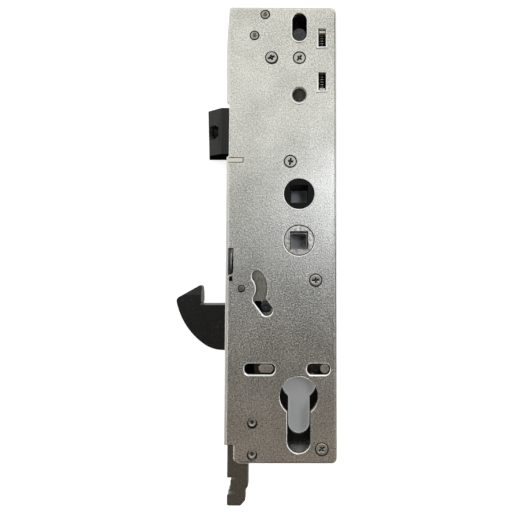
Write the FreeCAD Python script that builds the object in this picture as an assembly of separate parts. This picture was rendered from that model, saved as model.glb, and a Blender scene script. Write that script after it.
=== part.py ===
import FreeCAD, Part
import math
import os
from FreeCAD import Vector

# Multipoint hook lock. Millimetres, X towards the rear of the case, Z up, Y from the cover plate to the
# case floor. The origin is on the axis of the upper spindle, halfway through the thickness of the case.

# Case envelope
CASE_WIDTH = 50.0
CASE_THICK = 16.0
WALL = 1.4
FRONT_INSET = 33.0          # front edge to the spindle axes
TOP_RISE = 88.5             # upper spindle axis to the top edge
SPINDLE_PITCH = 21.5        # upper to lower spindle axis
CYLINDER_DROP = 92.0        # upper spindle axis to the cylinder axis
BOTTOM_DROP = 29.5          # cylinder axis to the bottom edge
BEND_RADIUS = 1.0           # long outer edges
TOP_FRONT_RADIUS = 0.6
TOP_REAR_RADIUS = 2.3
BOTTOM_RADIUS = 2.0
FOOT_RECESS_WIDTH = 3.4     # corner of the cover plate cut back beside the drive foot
FOOT_RECESS_HEIGHT = 7.5
NOTCH_TOP_RISE = 18.7       # notch in the front edge, above the hook pivot
NOTCH_LOW_RISE = 7.0
NOTCH_DEPTH = 2.8
NOTCH_SLANT = 1.4
NOTCH_LIP = 0.6             # front wall left in front of the notch
NOTCH_RELIEF = 4.0          # depth to which the wall is thinned there
BRIDGE_HEIGHT = 0.9         # thin bridge below the notch
BRIDGE_HOLE_HEIGHT = 2.5
BRIDGE_EDGE = 0.8

# Clearances
RUNNING = 0.05              # pins and journals in their holes
SIDE_PLAY = 0.2             # sliding plates beside the case
END_PLAY = 0.3              # faces that pass each other
LOOSE = 0.5                 # pieces that only have to miss each other

# Layers through the thickness
PLATE_THICK = 3.0           # drive slide and its follower arm
DEADLOCK_THICK = 2.5
HOOK_THICK = 5.8
LATCH_ARM_THICK = 4.8
RETURN_THICK = 2.4

# Rivets and pins that hold the case together
RIVET_HEAD_RADIUS = 3.05
RIVET_SHANK_RADIUS = 2.2
BLOCK_PIN_HEAD_RADIUS = 2.3
BLOCK_PIN_RADIUS = 1.5
PIN_RECESS = 0.25
TOP_RIVET_X = -13.1
TOP_RIVET_DROP = 24.0       # both upper rivets below the top edge
LATCH_PILLAR_X = -4.13
LATCH_PILLAR_Z = 15.19
REAR_RIVET_INSET = 9.34     # rivet between lower spindle and cylinder, from the rear edge
REAR_RIVET_DROP = 18.3      # below the lower spindle
CORNER_RIVET_INSET = 6.6
CORNER_RIVET_RISE = 6.1

# Screw blocks and the collar for the fixing screws of the face plate
TOP_BLOCK_LENGTH = 17.5
TOP_BLOCK_HEIGHT = 15.4
TOP_SCREW_DROP = 8.2
PLATE_SCREW_RADIUS = 2.1
SCREW_PASSAGE_RADIUS = 2.7
BLOCK_PIN_SPREAD = 5.1      # upper pins above and below the screw
UPPER_PIN_INSETS = (16.8, 11.8)
CYLINDER_BLOCK_LENGTH = 14.5
CYLINDER_BLOCK_HEIGHT = 17.5
CYLINDER_SCREW_DROP = 19.1
LOWER_PIN_INSET = 12.0
LOWER_PIN_SPREAD = 7.0
COLLAR_DROP = 4.5           # below the cylinder axis
COLLAR_RADIUS = 2.1
COLLAR_BORE_RADIUS = 1.65
COLLAR_PROUD = 0.5
COLLAR_LENGTH = 4.0

# Fixing tube and cylinder cut-out
TUBE_RISE = 46.6
TUBE_RADIUS = 3.6
TUBE_BORE_RADIUS = 2.95
CYLINDER_RADIUS = 8.7
CYLINDER_SLOT_WIDTH = 10.6
CYLINDER_SLOT_DROP = 25.1

# Followers
SPINDLE_SQUARE = 8.2
JOURNAL_RADIUS = 7.1
HUB_RADIUS = 10.2
UPPER_TURN = 27.0
LOWER_TURN = 48.0
LATCH_ARM_REACH = 20.6
LIFT_ARM_REACH = 12.0
DRIVE_ARM_REACH = 17.5
SMALL_NOSE_RADIUS = 1.5
DRIVE_NOSE_RADIUS = 2.5
DRIVE_ARM_WIDTH = 3.0
ARM_ROOT = 0.6              # arms start inside the hub, as a share of its radius
LATCH_ARM_WIDTH = 4.0
LATCH_ARM_ROOT_WIDTH = 6.0

# Latch bolt
LATCH_RISE = 30.45
LATCH_HEIGHT = 22.1
LATCH_THICK = 11.0
LATCH_FLAT_REACH = 4.6      # flat side beyond the front edge
LATCH_TIP_REACH = 11.5
LATCH_BEVEL_REACH = 8.8     # a spot on the curved bevel: beyond the front edge
LATCH_BEVEL_DEPTH = 2.4     # and behind the flat side
LATCH_TAIL_INSET = 8.0      # rear end of the bolt inside the front edge
LATCH_SCREW_RADIUS = 1.5
LATCH_SCREW_HEAD_RADIUS = 3.2
LATCH_COUNTERBORE_RADIUS = 3.5
LATCH_COUNTERBORE_OPENING = 1.8     # the counterbore is widened this far towards the bevel
LATCH_SEAT_REACH = 5.6      # floor of the counterbore beyond the front edge
LATCH_SCREW_HEAD_LENGTH = 2.4
LATCH_SOCKET_RADIUS = 1.6
LATCH_SOCKET_FLOOR = 0.8
GUIDE_THICK = 2.5
GUIDE_TAB_DEPTH = 6.8
GUIDE_TAB_THICK = 1.8
TAIL_TONGUE = 6.0
TAIL_REACH = 28.0           # behind the bolt
TAIL_ROOT_LENGTH = 10.0
TAIL_ROOT_DROP = 3.0        # below the top of the bolt
TAIL_RISE = 2.0             # top edge above the bolt's axis

# Return slide and spring
RETURN_LEG_WIDTH = 3.4
RETURN_HEAD = 8.0           # side of the square head that carries the stud
CROSSBAR_RISE = 51.5
CROSSBAR_WIDTH = 4.5
STUD_RADIUS = 3.2
STUD_INSET = 17.0           # guide stud from the rear edge
STUD_DROP = 12.5            # guide stud below the top edge
STUD_SLOT_WIDTH = 7.0
STUD_SLOT_LENGTH = 13.35
STUD_RECESS = 0.8
SPRING_INSET = 6.3          # spring axis from the rear edge
SPRING_FRONT_GAP = 0.7      # outside of the spring behind the cover plate
SPRING_RADIUS = 3.3
SPRING_WIRE = 0.8
SPRING_LENGTH = 27.1
SPRING_CURLS = 21
SPRING_SECTION_SIDES = 6
ABUTMENT_DROP = 11.3
TAB_THICK = 1.5
TAB_WIDTH = 6.6
WINDOW_WIDTH = 3.6
WINDOW_HEIGHT = 8.4
WINDOW_TOP_MARGIN = 1.1     # over the abutment's lower face
WINDOW_LOW_MARGIN = 1.3     # under the seat's upper face

# Hook bolt
PIVOT_INSET = 6.65
PIVOT_DROP = 43.73
PIVOT_PIN_RADIUS = 1.75
HOOK_SWING_RADIUS = 32.3
HOOK_HUB_RADIUS = 6.3
HOOK_THROAT_REACH = 13.3    # catch face beyond the front edge
HOOK_THROAT_DROP = 8.3      # top of the shank below the pivot
HOOK_CHIN_CUT = 2.9         # flat underside, above the lowest point of the swing
HOOK_THROAT_RADIUS = 2.5
HOOK_HEEL_RADIUS = 3.0
HOOK_CHIN_RADIUS = 16.0
HOOK_NOSE_RISE = 1.5
HOOK_NOSE_SLOPE = 30.0
HOOK_REAR_INSET = 6.0       # lower rear corner inside the front edge
HOOK_TIP_BEARING = 189.3    # nose tip seen from the pivot, from +X towards +Z
HOOK_TIP_RADIUS = 2.0
SPACER_RADIUS = 4.0
HOOK_BARB = 0.4             # small undercut at the foot of the catch face
HOOK_SHOULDER_DROP = 3.0    # hub blends into the shank below the pivot

# Drive pin, its pocket in the hook and the curved slots that guide it
DRIVE_PIN_RADIUS = 2.6
DRIVE_PIN_X = 11.05         # behind the pivot
DRIVE_PIN_DROP = 8.47       # below the pivot
DRIVE_PIN_TRAVEL = 3.75
POCKET_WIDTH = 7.1
POCKET_LENGTH = 5.33
POCKET_SLOPE = 20.3
POCKET_WEB = 1.75
POCKET_PLAY = (0.22, -0.09)  # pocket's end beyond the pin, for the hook thrown out
CURVED_SLOT_RADIUS = 9.25
CURVED_SLOT_WIDTH = 5.4
CURVED_SLOT_TOP = 38.0
CURVED_SLOT_TURN = -31.0
CURVED_SLOT_TAIL = 6.2
CURVED_SLOT_TAIL_SLOPE = -52.3

# Drive slide and foot
SLIDE_TOP_DROP = 12.0
SLIDE_UPPER_INSET = 2.6
SLIDE_ARM_CLEARANCE = 3.8
SLIDE_STEP_DROP = 60.5
SLIDE_NARROW_INSET = 9.6
SLIDE_WEB = 2.2
SLIDE_SHOULDER_DROP = 1.3   # its front edge steps back below the pivot
SLIDE_CROWN_RISE = 3.0
DEADLOCK_NOTCH_DEPTH = 3.2
TONGUE_PLAY = 0.8
LAP_TOP_RISE = 20.5         # lap joint of slide and foot, above the bottom edge
LAP_LENGTH = 8.0
FOOT_RIVET_RADIUS = 1.2
FOOT_RIVET_SPREAD = 2.2
FOOT_DROP = 19.7
FOOT_FRONT_INSET = 0.6
FOOT_REAR_INSET = 10.1
FOOT_SHOULDER_RISE = 8.0
FOOT_SHOULDER_SLANT = 1.0
FOOT_NECK_DROP = 7.4
FOOT_SLOT_HEIGHT = 1.1
FOOT_SLOT_INSET = 4.0
FOOT_TONGUE_INSET = 2.1
FOOT_TOE_INSET = 8.9
FOOT_TOE_RISE = 5.1         # upper face of the toe, above the foot's lower end
FOOT_LIP_RISE = 6.9         # upper face of the lip on the tongue
FOOT_TOE_SLOPE = 0.7
FOOT_LIP_INSET = 0.6
FOOT_HEEL_STEP = (2.1, 2.4)  # cut corner behind the toe
FOOT_ANKLE_RISE = 1.6

# Deadlock slide
DEADLOCK_THROW = 5.7
DEADLOCK_AXIS_RISE = 12.1   # guide pins above the cylinder axis
DEADLOCK_TOP_RISE = 22.0
DEADLOCK_FRONT_X = -20.5
DEADLOCK_REAR_INSET = 2.4
DEADLOCK_TONGUE = 8.0
CAM_RADIUS = 15.7
GATE_WIDTH = 16.0
LUG_LENGTH = 6.7
LUG_HEIGHT = 3.7
LUG_X = -14.95
LUG_PLAY = 0.85             # free slot at either end of the lug's travel
LUG_CORNER_RADIUS = 1.8
LUG_STEM_RADIUS = 1.4
DEADLOCK_PIN_RADIUS = 2.0
DEADLOCK_PIN_INSET = 5.25   # from the rear edge of the case
PIN_PLAY = 0.45
GUIDE_SLOT_HEIGHT = 5.1
GUIDE_SLOT_RADIUS = 2.3
LUG_RECESS = 0.3
LUG_GUIDE_WIDTH = 6.0       # guide behind the front stud
GATE_TAPER = 2.0
GATE_EDGE = 1.0
BLOCK_BACK_Y = 3.0

# Places worked out from the sizes above
FRONT_X = -FRONT_INSET
REAR_X = CASE_WIDTH - FRONT_INSET
TOP_Z = TOP_RISE
LOWER_Z = -SPINDLE_PITCH
CYLINDER_Z = -CYLINDER_DROP
BOTTOM_Z = CYLINDER_Z - BOTTOM_DROP
FACE_Y = -CASE_THICK / 2
BACK_Y = CASE_THICK / 2
COVER_BACK_Y = FACE_Y + WALL
FLOOR_Y = BACK_Y - WALL
WALL_X = FRONT_X + WALL
PLATE_FRONT_Y = COVER_BACK_Y + SIDE_PLAY
PLATE_BACK_Y = PLATE_FRONT_Y + PLATE_THICK
INNER_BACK_Y = FLOOR_Y - SIDE_PLAY
RETURN_BACK_Y = FLOOR_Y - 2 * SIDE_PLAY
RETURN_FRONT_Y = RETURN_BACK_Y - RETURN_THICK
BLOCK_FRONT_X = WALL_X + 0.1
TOP_SCREW_Z = TOP_Z - TOP_SCREW_DROP
CYLINDER_SCREW_Z = CYLINDER_Z - CYLINDER_SCREW_DROP
COLLAR_Z = CYLINDER_Z - COLLAR_DROP
PIVOT = (FRONT_X + PIVOT_INSET, -PIVOT_DROP)
DRIVE_PIN = (PIVOT[0] + DRIVE_PIN_X, PIVOT[1] - DRIVE_PIN_DROP)
DRIVE_TRAVEL = 2 * DRIVE_ARM_REACH * math.sin(math.radians(LOWER_TURN / 2))
LATCH_TRAVEL = 2 * LATCH_ARM_REACH * math.sin(math.radians(UPPER_TURN / 2))
LIFT_TRAVEL = 2 * LIFT_ARM_REACH * math.sin(math.radians(UPPER_TURN / 2))
LATCH_LOW_Z = LATCH_RISE - LATCH_HEIGHT / 2
LATCH_HIGH_Z = LATCH_RISE + LATCH_HEIGHT / 2
STUD_X = REAR_X - STUD_INSET
SPRING_X = REAR_X - SPRING_INSET
SPRING_Y = COVER_BACK_Y + SPRING_FRONT_GAP + SPRING_RADIUS
ABUTMENT_Z = TOP_Z - ABUTMENT_DROP
SEAT_Z = ABUTMENT_Z - SPRING_LENGTH
DEADLOCK_Z = CYLINDER_Z + DEADLOCK_AXIS_RISE
DEADLOCK_REAR_X = REAR_X - DEADLOCK_REAR_INSET
DEADLOCK_PIN_X = REAR_X - DEADLOCK_PIN_INSET
RIVETS = (
    (TOP_RIVET_X, TOP_Z - TOP_RIVET_DROP),
    (STUD_X, TOP_Z - TOP_RIVET_DROP),
    (LATCH_PILLAR_X, LATCH_PILLAR_Z),
    (REAR_X - REAR_RIVET_INSET, LOWER_Z - REAR_RIVET_DROP),
    (REAR_X - CORNER_RIVET_INSET, BOTTOM_Z + CORNER_RIVET_RISE),
)
UPPER_PINS = (
    (FRONT_X + UPPER_PIN_INSETS[0], TOP_SCREW_Z + BLOCK_PIN_SPREAD),
    (FRONT_X + UPPER_PIN_INSETS[1], TOP_SCREW_Z - BLOCK_PIN_SPREAD),
)
LOWER_PINS = (
    (FRONT_X + LOWER_PIN_INSET, CYLINDER_SCREW_Z + LOWER_PIN_SPREAD),
    (FRONT_X + LOWER_PIN_INSET, CYLINDER_SCREW_Z - LOWER_PIN_SPREAD),
)


def polar(centre, radius, degrees):
    """Point (x, z) at a radius and an angle from +X towards +Z about a centre."""
    turn = math.radians(degrees)
    return centre[0] + radius * math.cos(turn), centre[1] + radius * math.sin(turn)


def segment(start, end):
    return Part.LineSegment(start, end).toShape()


def outline(corners):
    """Closed wire in the XZ plane through (x, z, radius) corners, rounded by tangent arcs."""
    points = [Vector(x, 0, z) for x, z, radius in corners]
    bends = []
    for index, corner in enumerate(points):
        radius = corners[index][2]
        before = (points[index - 1] - corner).normalize()
        after = (points[(index + 1) % len(points)] - corner).normalize()
        half = before.getAngle(after) / 2
        reach = radius / math.tan(half)
        inward = (before + after).normalize() if radius else Vector(0, 0, 0)
        middle = corner + inward * (radius / math.sin(half) - radius)
        bends.append((corner + before * reach, middle, corner + after * reach, radius))
    edges = []
    for index, (start, middle, end, radius) in enumerate(bends):
        last = bends[index - 1][2]
        if (start - last).Length > 1e-6:
            edges.append(segment(last, start))
        if radius:
            edges.append(Part.Arc(start, middle, end).toShape())
    return Part.Wire(edges)


def plate(corners, y_front, y_back):
    """Flat piece of the given outline between two depths."""
    face = Part.Face(outline(corners))
    face.translate(Vector(0, y_front, 0))
    return face.extrude(Vector(0, y_back - y_front, 0))


def rounded_box(x_low, x_high, z_low, z_high, radius, y_front, y_back):
    corners = [(x_low, z_low, radius), (x_high, z_low, radius),
               (x_high, z_high, radius), (x_low, z_high, radius)]
    return plate(corners, y_front, y_back)


def block(x_low, x_high, y_low, y_high, z_low, z_high):
    return Part.makeBox(x_high - x_low, y_high - y_low, z_high - z_low, Vector(x_low, y_low, z_low))


def rod(place, radius, y_front, y_back):
    """Cylinder along Y at (x, z)."""
    return Part.makeCylinder(radius, y_back - y_front, Vector(place[0], y_front, place[1]), Vector(0, 1, 0))


def cross_rod(y, z, radius, x_low, x_high):
    """Cylinder along X at (y, z)."""
    return Part.makeCylinder(radius, x_high - x_low, Vector(x_low, y, z), Vector(1, 0, 0))


def capsule(start, end, radius, y_front, y_back):
    """Round-ended bar between two (x, z) places."""
    first = Vector(start[0], 0, start[1])
    last = Vector(end[0], 0, end[1])
    along = (last - first).normalize()
    side = Vector(-along.z, 0, along.x) * radius
    edges = [
        segment(first + side, last + side),
        Part.Arc(last + side, last + along * radius, last - side).toShape(),
        segment(last - side, first - side),
        Part.Arc(first - side, first - along * radius, first + side).toShape(),
    ]
    face = Part.Face(Part.Wire(edges))
    face.translate(Vector(0, y_front, 0))
    return face.extrude(Vector(0, y_back - y_front, 0))


def ring_sector(centre, radius, width, low, high, y_front, y_back):
    """Curved bar of a given width about a centre, between two angles, with square ends."""
    inner = radius - width / 2
    outer = radius + width / 2
    middle = (low + high) / 2
    spots = [polar(centre, inner, low), polar(centre, inner, middle), polar(centre, inner, high),
             polar(centre, outer, high), polar(centre, outer, middle), polar(centre, outer, low)]
    a, b, c, d, e, f = [Vector(x, y_front, z) for x, z in spots]
    edges = [Part.Arc(a, b, c).toShape(), segment(c, d), Part.Arc(d, e, f).toShape(), segment(f, a)]
    return Part.Face(Part.Wire(edges)).extrude(Vector(0, y_back - y_front, 0))


def edges_along_y(shape, places):
    """Edges parallel to Y that stand nearest to the given (x, z) places."""
    upright = []
    for edge in shape.Edges:
        box = edge.BoundBox
        if box.XLength < 1e-5 and box.ZLength < 1e-5:
            upright.append(edge)
    return [min(upright, key=lambda e: math.hypot(e.BoundBox.XMin - x, e.BoundBox.ZMin - z)) for x, z in places]


def case_corners(inset, radii):
    """Case outline drawn in by an inset: top front, top rear, bottom rear, bottom front."""
    top_front, top_rear, bottom_rear, bottom_front = radii
    return [
        (FRONT_X + inset, TOP_Z - inset, top_front),
        (REAR_X - inset, TOP_Z - inset, top_rear),
        (REAR_X - inset, BOTTOM_Z + inset, bottom_rear),
        (FRONT_X + inset, BOTTOM_Z + inset, bottom_front),
    ]


def plate_holes(y_front, y_back):
    """Everything that goes through both the cover plate and the floor of the case."""
    shapes = [rod((0, 0), JOURNAL_RADIUS + RUNNING, y_front, y_back)]
    shapes.append(rod((0, LOWER_Z), JOURNAL_RADIUS + RUNNING, y_front, y_back))
    shapes.append(rod((0, TUBE_RISE), TUBE_RADIUS + RUNNING, y_front, y_back))
    shapes.append(rod(PIVOT, PIVOT_PIN_RADIUS + RUNNING, y_front, y_back))
    for place in RIVETS:
        shapes.append(rod(place, RIVET_HEAD_RADIUS + RUNNING, y_front, y_back))
    for place in UPPER_PINS + LOWER_PINS:
        shapes.append(rod(place, BLOCK_PIN_HEAD_RADIUS + RUNNING, y_front, y_back))
    shapes.append(cylinder_cutout(y_front, y_back))
    shapes.append(curved_slot(y_front, y_back))
    return shapes


def cylinder_cutout(y_front, y_back):
    """Keyhole for a profile cylinder: a round head over a slot with a round foot."""
    half = CYLINDER_SLOT_WIDTH / 2
    head = rod((0, CYLINDER_Z), CYLINDER_RADIUS, y_front, y_back)
    foot = capsule((0, CYLINDER_Z), (0, CYLINDER_Z - CYLINDER_SLOT_DROP + half), half, y_front, y_back)
    return head.fuse(foot)


def curved_slot(y_front, y_back):
    """Slot round the hook pivot that leads the drive pin, with a straight tail at its lower end."""
    half = CURVED_SLOT_WIDTH / 2
    bow = ring_sector(PIVOT, CURVED_SLOT_RADIUS, CURVED_SLOT_WIDTH, CURVED_SLOT_TURN, CURVED_SLOT_TOP,
                      y_front, y_back)
    top = rod(polar(PIVOT, CURVED_SLOT_RADIUS, CURVED_SLOT_TOP), half, y_front, y_back)
    knee = polar(PIVOT, CURVED_SLOT_RADIUS, CURVED_SLOT_TURN)
    tail = capsule(knee, polar(knee, CURVED_SLOT_TAIL, CURVED_SLOT_TAIL_SLOPE), half, y_front, y_back)
    return bow.fuse([top, tail])


def spring_window(z_middle, y_front, y_back):
    half = WINDOW_WIDTH / 2
    reach = WINDOW_HEIGHT / 2
    return block(SPRING_X - half, SPRING_X + half, y_front, y_back, z_middle - reach, z_middle + reach)


def guide_slot(x_stud, reach, play, y_front, y_back):
    """Slot for a stud of the deadlock slide: its own width, the throw towards the front, and play."""
    half = GUIDE_SLOT_HEIGHT / 2
    return rounded_box(x_stud - DEADLOCK_THROW - reach - play, x_stud + reach + play,
                       DEADLOCK_Z - half, DEADLOCK_Z + half, GUIDE_SLOT_RADIUS, y_front, y_back)


def cover_plate():
    """Stamped plate over the open side of the case, with its long edges rolled over."""
    recess_x = FRONT_X + FOOT_RECESS_WIDTH
    recess_z = BOTTOM_Z + FOOT_RECESS_HEIGHT
    corners = [
        (FRONT_X, TOP_Z, TOP_FRONT_RADIUS),
        (REAR_X, TOP_Z, TOP_REAR_RADIUS),
        (REAR_X, BOTTOM_Z, BOTTOM_RADIUS),
        (recess_x, BOTTOM_Z, BOTTOM_RADIUS),
        (recess_x, recess_z, 0.5),
        (FRONT_X, recess_z, 0),
    ]
    body = plate(corners, FACE_Y, COVER_BACK_Y)
    rolled = [edge for edge in body.Edges if abs(edge.BoundBox.YMin - FACE_Y) < 1e-4
              and edge.BoundBox.YLength < 1e-4 and edge.Length > CASE_WIDTH * 2]
    body = body.makeFillet(BEND_RADIUS, rolled)
    front = FACE_Y - 1
    back = COVER_BACK_Y + 1
    holes = plate_holes(front, back)
    slot_half = STUD_SLOT_WIDTH / 2
    slot_top = TOP_Z - STUD_DROP + STUD_SLOT_LENGTH - STUD_RADIUS - END_PLAY
    holes.append(rounded_box(STUD_X - slot_half, STUD_X + slot_half, slot_top - STUD_SLOT_LENGTH, slot_top,
                             slot_half - 0.01, front, back))
    holes.append(spring_window(ABUTMENT_Z - WINDOW_HEIGHT / 2 + WINDOW_TOP_MARGIN, front, back))
    holes.append(spring_window(SEAT_Z + WINDOW_HEIGHT / 2 - WINDOW_LOW_MARGIN, front, back))
    holes.append(guide_slot(LUG_X, LUG_LENGTH / 2, LUG_PLAY, front, back))
    holes.append(guide_slot(DEADLOCK_PIN_X, DEADLOCK_PIN_RADIUS, PIN_PLAY, front, back))
    tab_top = LATCH_LOW_Z - SIDE_PLAY - GUIDE_THICK
    holes.append(block(FRONT_X - 1, FRONT_X + GUIDE_TAB_DEPTH + SIDE_PLAY, front, back,
                       tab_top - GUIDE_TAB_THICK - END_PLAY, tab_top + END_PLAY))
    holes.append(front_notch(front, back))
    holes.append(bridge_hole(front, back))
    return body.cut(holes)


def front_notch(y_front, y_back):
    """Notch in the front edge of the cover plate above the hook, with a slanted lower side."""
    top = PIVOT[1] + NOTCH_TOP_RISE
    low = PIVOT[1] + NOTCH_LOW_RISE
    corners = [
        (FRONT_X - 1, top, 0),
        (FRONT_X + NOTCH_DEPTH, top, 0.4),
        (FRONT_X + NOTCH_DEPTH, low, 0.4),
        (FRONT_X - 1, low - NOTCH_SLANT, 0),
    ]
    return plate(corners, y_front, y_back)


def bridge_hole(y_front, y_back):
    """Small hole under the thin bridge that closes the notch."""
    top = PIVOT[1] + NOTCH_LOW_RISE - BRIDGE_HEIGHT
    corners = [
        (FRONT_X + BRIDGE_EDGE, top - BRIDGE_EDGE, 0.3),
        (FRONT_X + NOTCH_DEPTH, top, 0.3),
        (FRONT_X + NOTCH_DEPTH, top - BRIDGE_HOLE_HEIGHT, 0.4),
        (FRONT_X + BRIDGE_EDGE, top - BRIDGE_HOLE_HEIGHT - BRIDGE_EDGE / 2, 0.4),
    ]
    return plate(corners, y_front, y_back)


def back_case():
    """Drawn tray: the floor and the four walls, open towards the cover plate."""
    outer = plate(case_corners(0, (TOP_FRONT_RADIUS, TOP_REAR_RADIUS, BOTTOM_RADIUS, BOTTOM_RADIUS)),
                  COVER_BACK_Y, BACK_Y)
    rolled = [edge for edge in outer.Edges if abs(edge.BoundBox.YMax - BACK_Y) < 1e-4
              and edge.BoundBox.YLength < 1e-4 and edge.Length > CASE_WIDTH * 2]
    outer = outer.makeFillet(BEND_RADIUS, rolled)
    inner = plate(case_corners(WALL, (0.3, TOP_REAR_RADIUS - WALL, BOTTOM_RADIUS - WALL, 0.3)),
                  COVER_BACK_Y - 1, FLOOR_Y)
    holes = plate_holes(FLOOR_Y - 1, BACK_Y + 1)
    outside = FRONT_X - 1
    inside = WALL_X + 1
    latch_half = LATCH_THICK / 2 + END_PLAY
    holes.append(block(outside, inside, -latch_half, latch_half, LATCH_LOW_Z - LOOSE, LATCH_HIGH_Z + LOOSE))
    tab_top = LATCH_LOW_Z - SIDE_PLAY - GUIDE_THICK
    holes.append(block(outside, inside, COVER_BACK_Y - 1, INNER_BACK_Y + SIDE_PLAY,
                       tab_top - GUIDE_TAB_THICK - SIDE_PLAY, tab_top + SIDE_PLAY))
    hook_half = HOOK_THICK / 2 + END_PLAY
    holes.append(block(outside, inside, -hook_half, hook_half,
                       PIVOT[1] - HOOK_SWING_RADIUS - LOOSE, PIVOT[1] + HOOK_HUB_RADIUS + LOOSE))
    rail_top = BOTTOM_Z + FOOT_SHOULDER_RISE + FOOT_SHOULDER_SLANT + DRIVE_TRAVEL + END_PLAY
    rail_back = PLATE_BACK_Y + SIDE_PLAY
    holes.append(block(outside, inside, COVER_BACK_Y - 1, rail_back, BOTTOM_Z - 1, rail_top))
    holes.append(block(FRONT_X - 1, FRONT_X + FOOT_REAR_INSET + END_PLAY, COVER_BACK_Y - 1, rail_back,
                       BOTTOM_Z - 1, BOTTOM_Z + WALL + 1))
    holes.append(cross_rod(0, TOP_SCREW_Z, SCREW_PASSAGE_RADIUS, outside, inside))
    holes.append(cross_rod(0, CYLINDER_SCREW_Z, SCREW_PASSAGE_RADIUS, outside, inside))
    holes.append(cross_rod(0, COLLAR_Z, COLLAR_RADIUS + RUNNING, outside, inside))
    holes.append(block(FRONT_X + NOTCH_LIP, inside, COVER_BACK_Y - 1, COVER_BACK_Y + NOTCH_RELIEF,
                       PIVOT[1] + NOTCH_LOW_RISE, PIVOT[1] + NOTCH_TOP_RISE))
    return outer.cut([inner] + holes)


def through_pin(place, shank, head, recess):
    """Pin with a wider head in each plate, a little below the outer faces."""
    body = rod(place, shank, COVER_BACK_Y, FLOOR_Y)
    front = rod(place, head, FACE_Y + recess, COVER_BACK_Y)
    back = rod(place, head, FLOOR_Y, BACK_Y - recess)
    return body.fuse([front, back])


def pillar_rivets():
    """Five spacer rivets that hold the cover plate and the case floor together."""
    return Part.makeCompound([through_pin(place, RIVET_SHANK_RADIUS, RIVET_HEAD_RADIUS, 0) for place in RIVETS])


def block_pins():
    solids = [through_pin(place, BLOCK_PIN_RADIUS, BLOCK_PIN_HEAD_RADIUS, PIN_RECESS)
              for place in UPPER_PINS + LOWER_PINS]
    return Part.makeCompound(solids)


def top_screw_block():
    """Block behind the front wall that takes the upper screw of the face plate."""
    top = TOP_Z - WALL - SIDE_PLAY
    body = block(BLOCK_FRONT_X, BLOCK_FRONT_X + TOP_BLOCK_LENGTH, PLATE_FRONT_Y, INNER_BACK_Y,
                 top - TOP_BLOCK_HEIGHT, top)
    holes = [rod(place, BLOCK_PIN_RADIUS + RUNNING, FACE_Y, BACK_Y) for place in UPPER_PINS]
    holes.append(cross_rod(0, TOP_SCREW_Z, PLATE_SCREW_RADIUS, FRONT_X, REAR_X))
    return body.cut(holes)


def cylinder_screw_block():
    """Block behind the drive foot that leads the screw of the profile cylinder."""
    front = PLATE_BACK_Y + 2 * SIDE_PLAY
    half = CYLINDER_BLOCK_HEIGHT / 2
    body = block(BLOCK_FRONT_X, BLOCK_FRONT_X + CYLINDER_BLOCK_LENGTH, front, INNER_BACK_Y,
                 CYLINDER_SCREW_Z - half, CYLINDER_SCREW_Z + half)
    holes = [rod(place, BLOCK_PIN_RADIUS + RUNNING, FACE_Y, BACK_Y) for place in LOWER_PINS]
    holes.append(cross_rod(0, CYLINDER_SCREW_Z, SCREW_PASSAGE_RADIUS, FRONT_X, REAR_X))
    return body.cut(holes)


def plate_screw_collar():
    """Turned collar in the front wall for the lower screw of the face plate."""
    start = FRONT_X - COLLAR_PROUD
    body = cross_rod(0, COLLAR_Z, COLLAR_RADIUS, start, start + COLLAR_LENGTH)
    return body.cut(cross_rod(0, COLLAR_Z, COLLAR_BORE_RADIUS, start - 1, start + COLLAR_LENGTH + 1))


def fixing_tube():
    body = rod((0, TUBE_RISE), TUBE_RADIUS, FACE_Y, BACK_Y)
    return body.cut(rod((0, TUBE_RISE), TUBE_BORE_RADIUS, FACE_Y - 1, BACK_Y + 1))


def latch_guide():
    """Moulded bearing under the latch bolt, held by a tab in the slits of the case."""
    top = LATCH_LOW_Z - SIDE_PLAY
    pad = block(BLOCK_FRONT_X, FRONT_X + LATCH_TAIL_INSET + 1, PLATE_FRONT_Y, INNER_BACK_Y,
                top - GUIDE_THICK, top)
    tab = block(FRONT_X, FRONT_X + GUIDE_TAB_DEPTH, FACE_Y, INNER_BACK_Y,
                top - GUIDE_THICK - GUIDE_TAB_THICK, top - GUIDE_THICK)
    return pad.fuse(tab)


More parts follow.
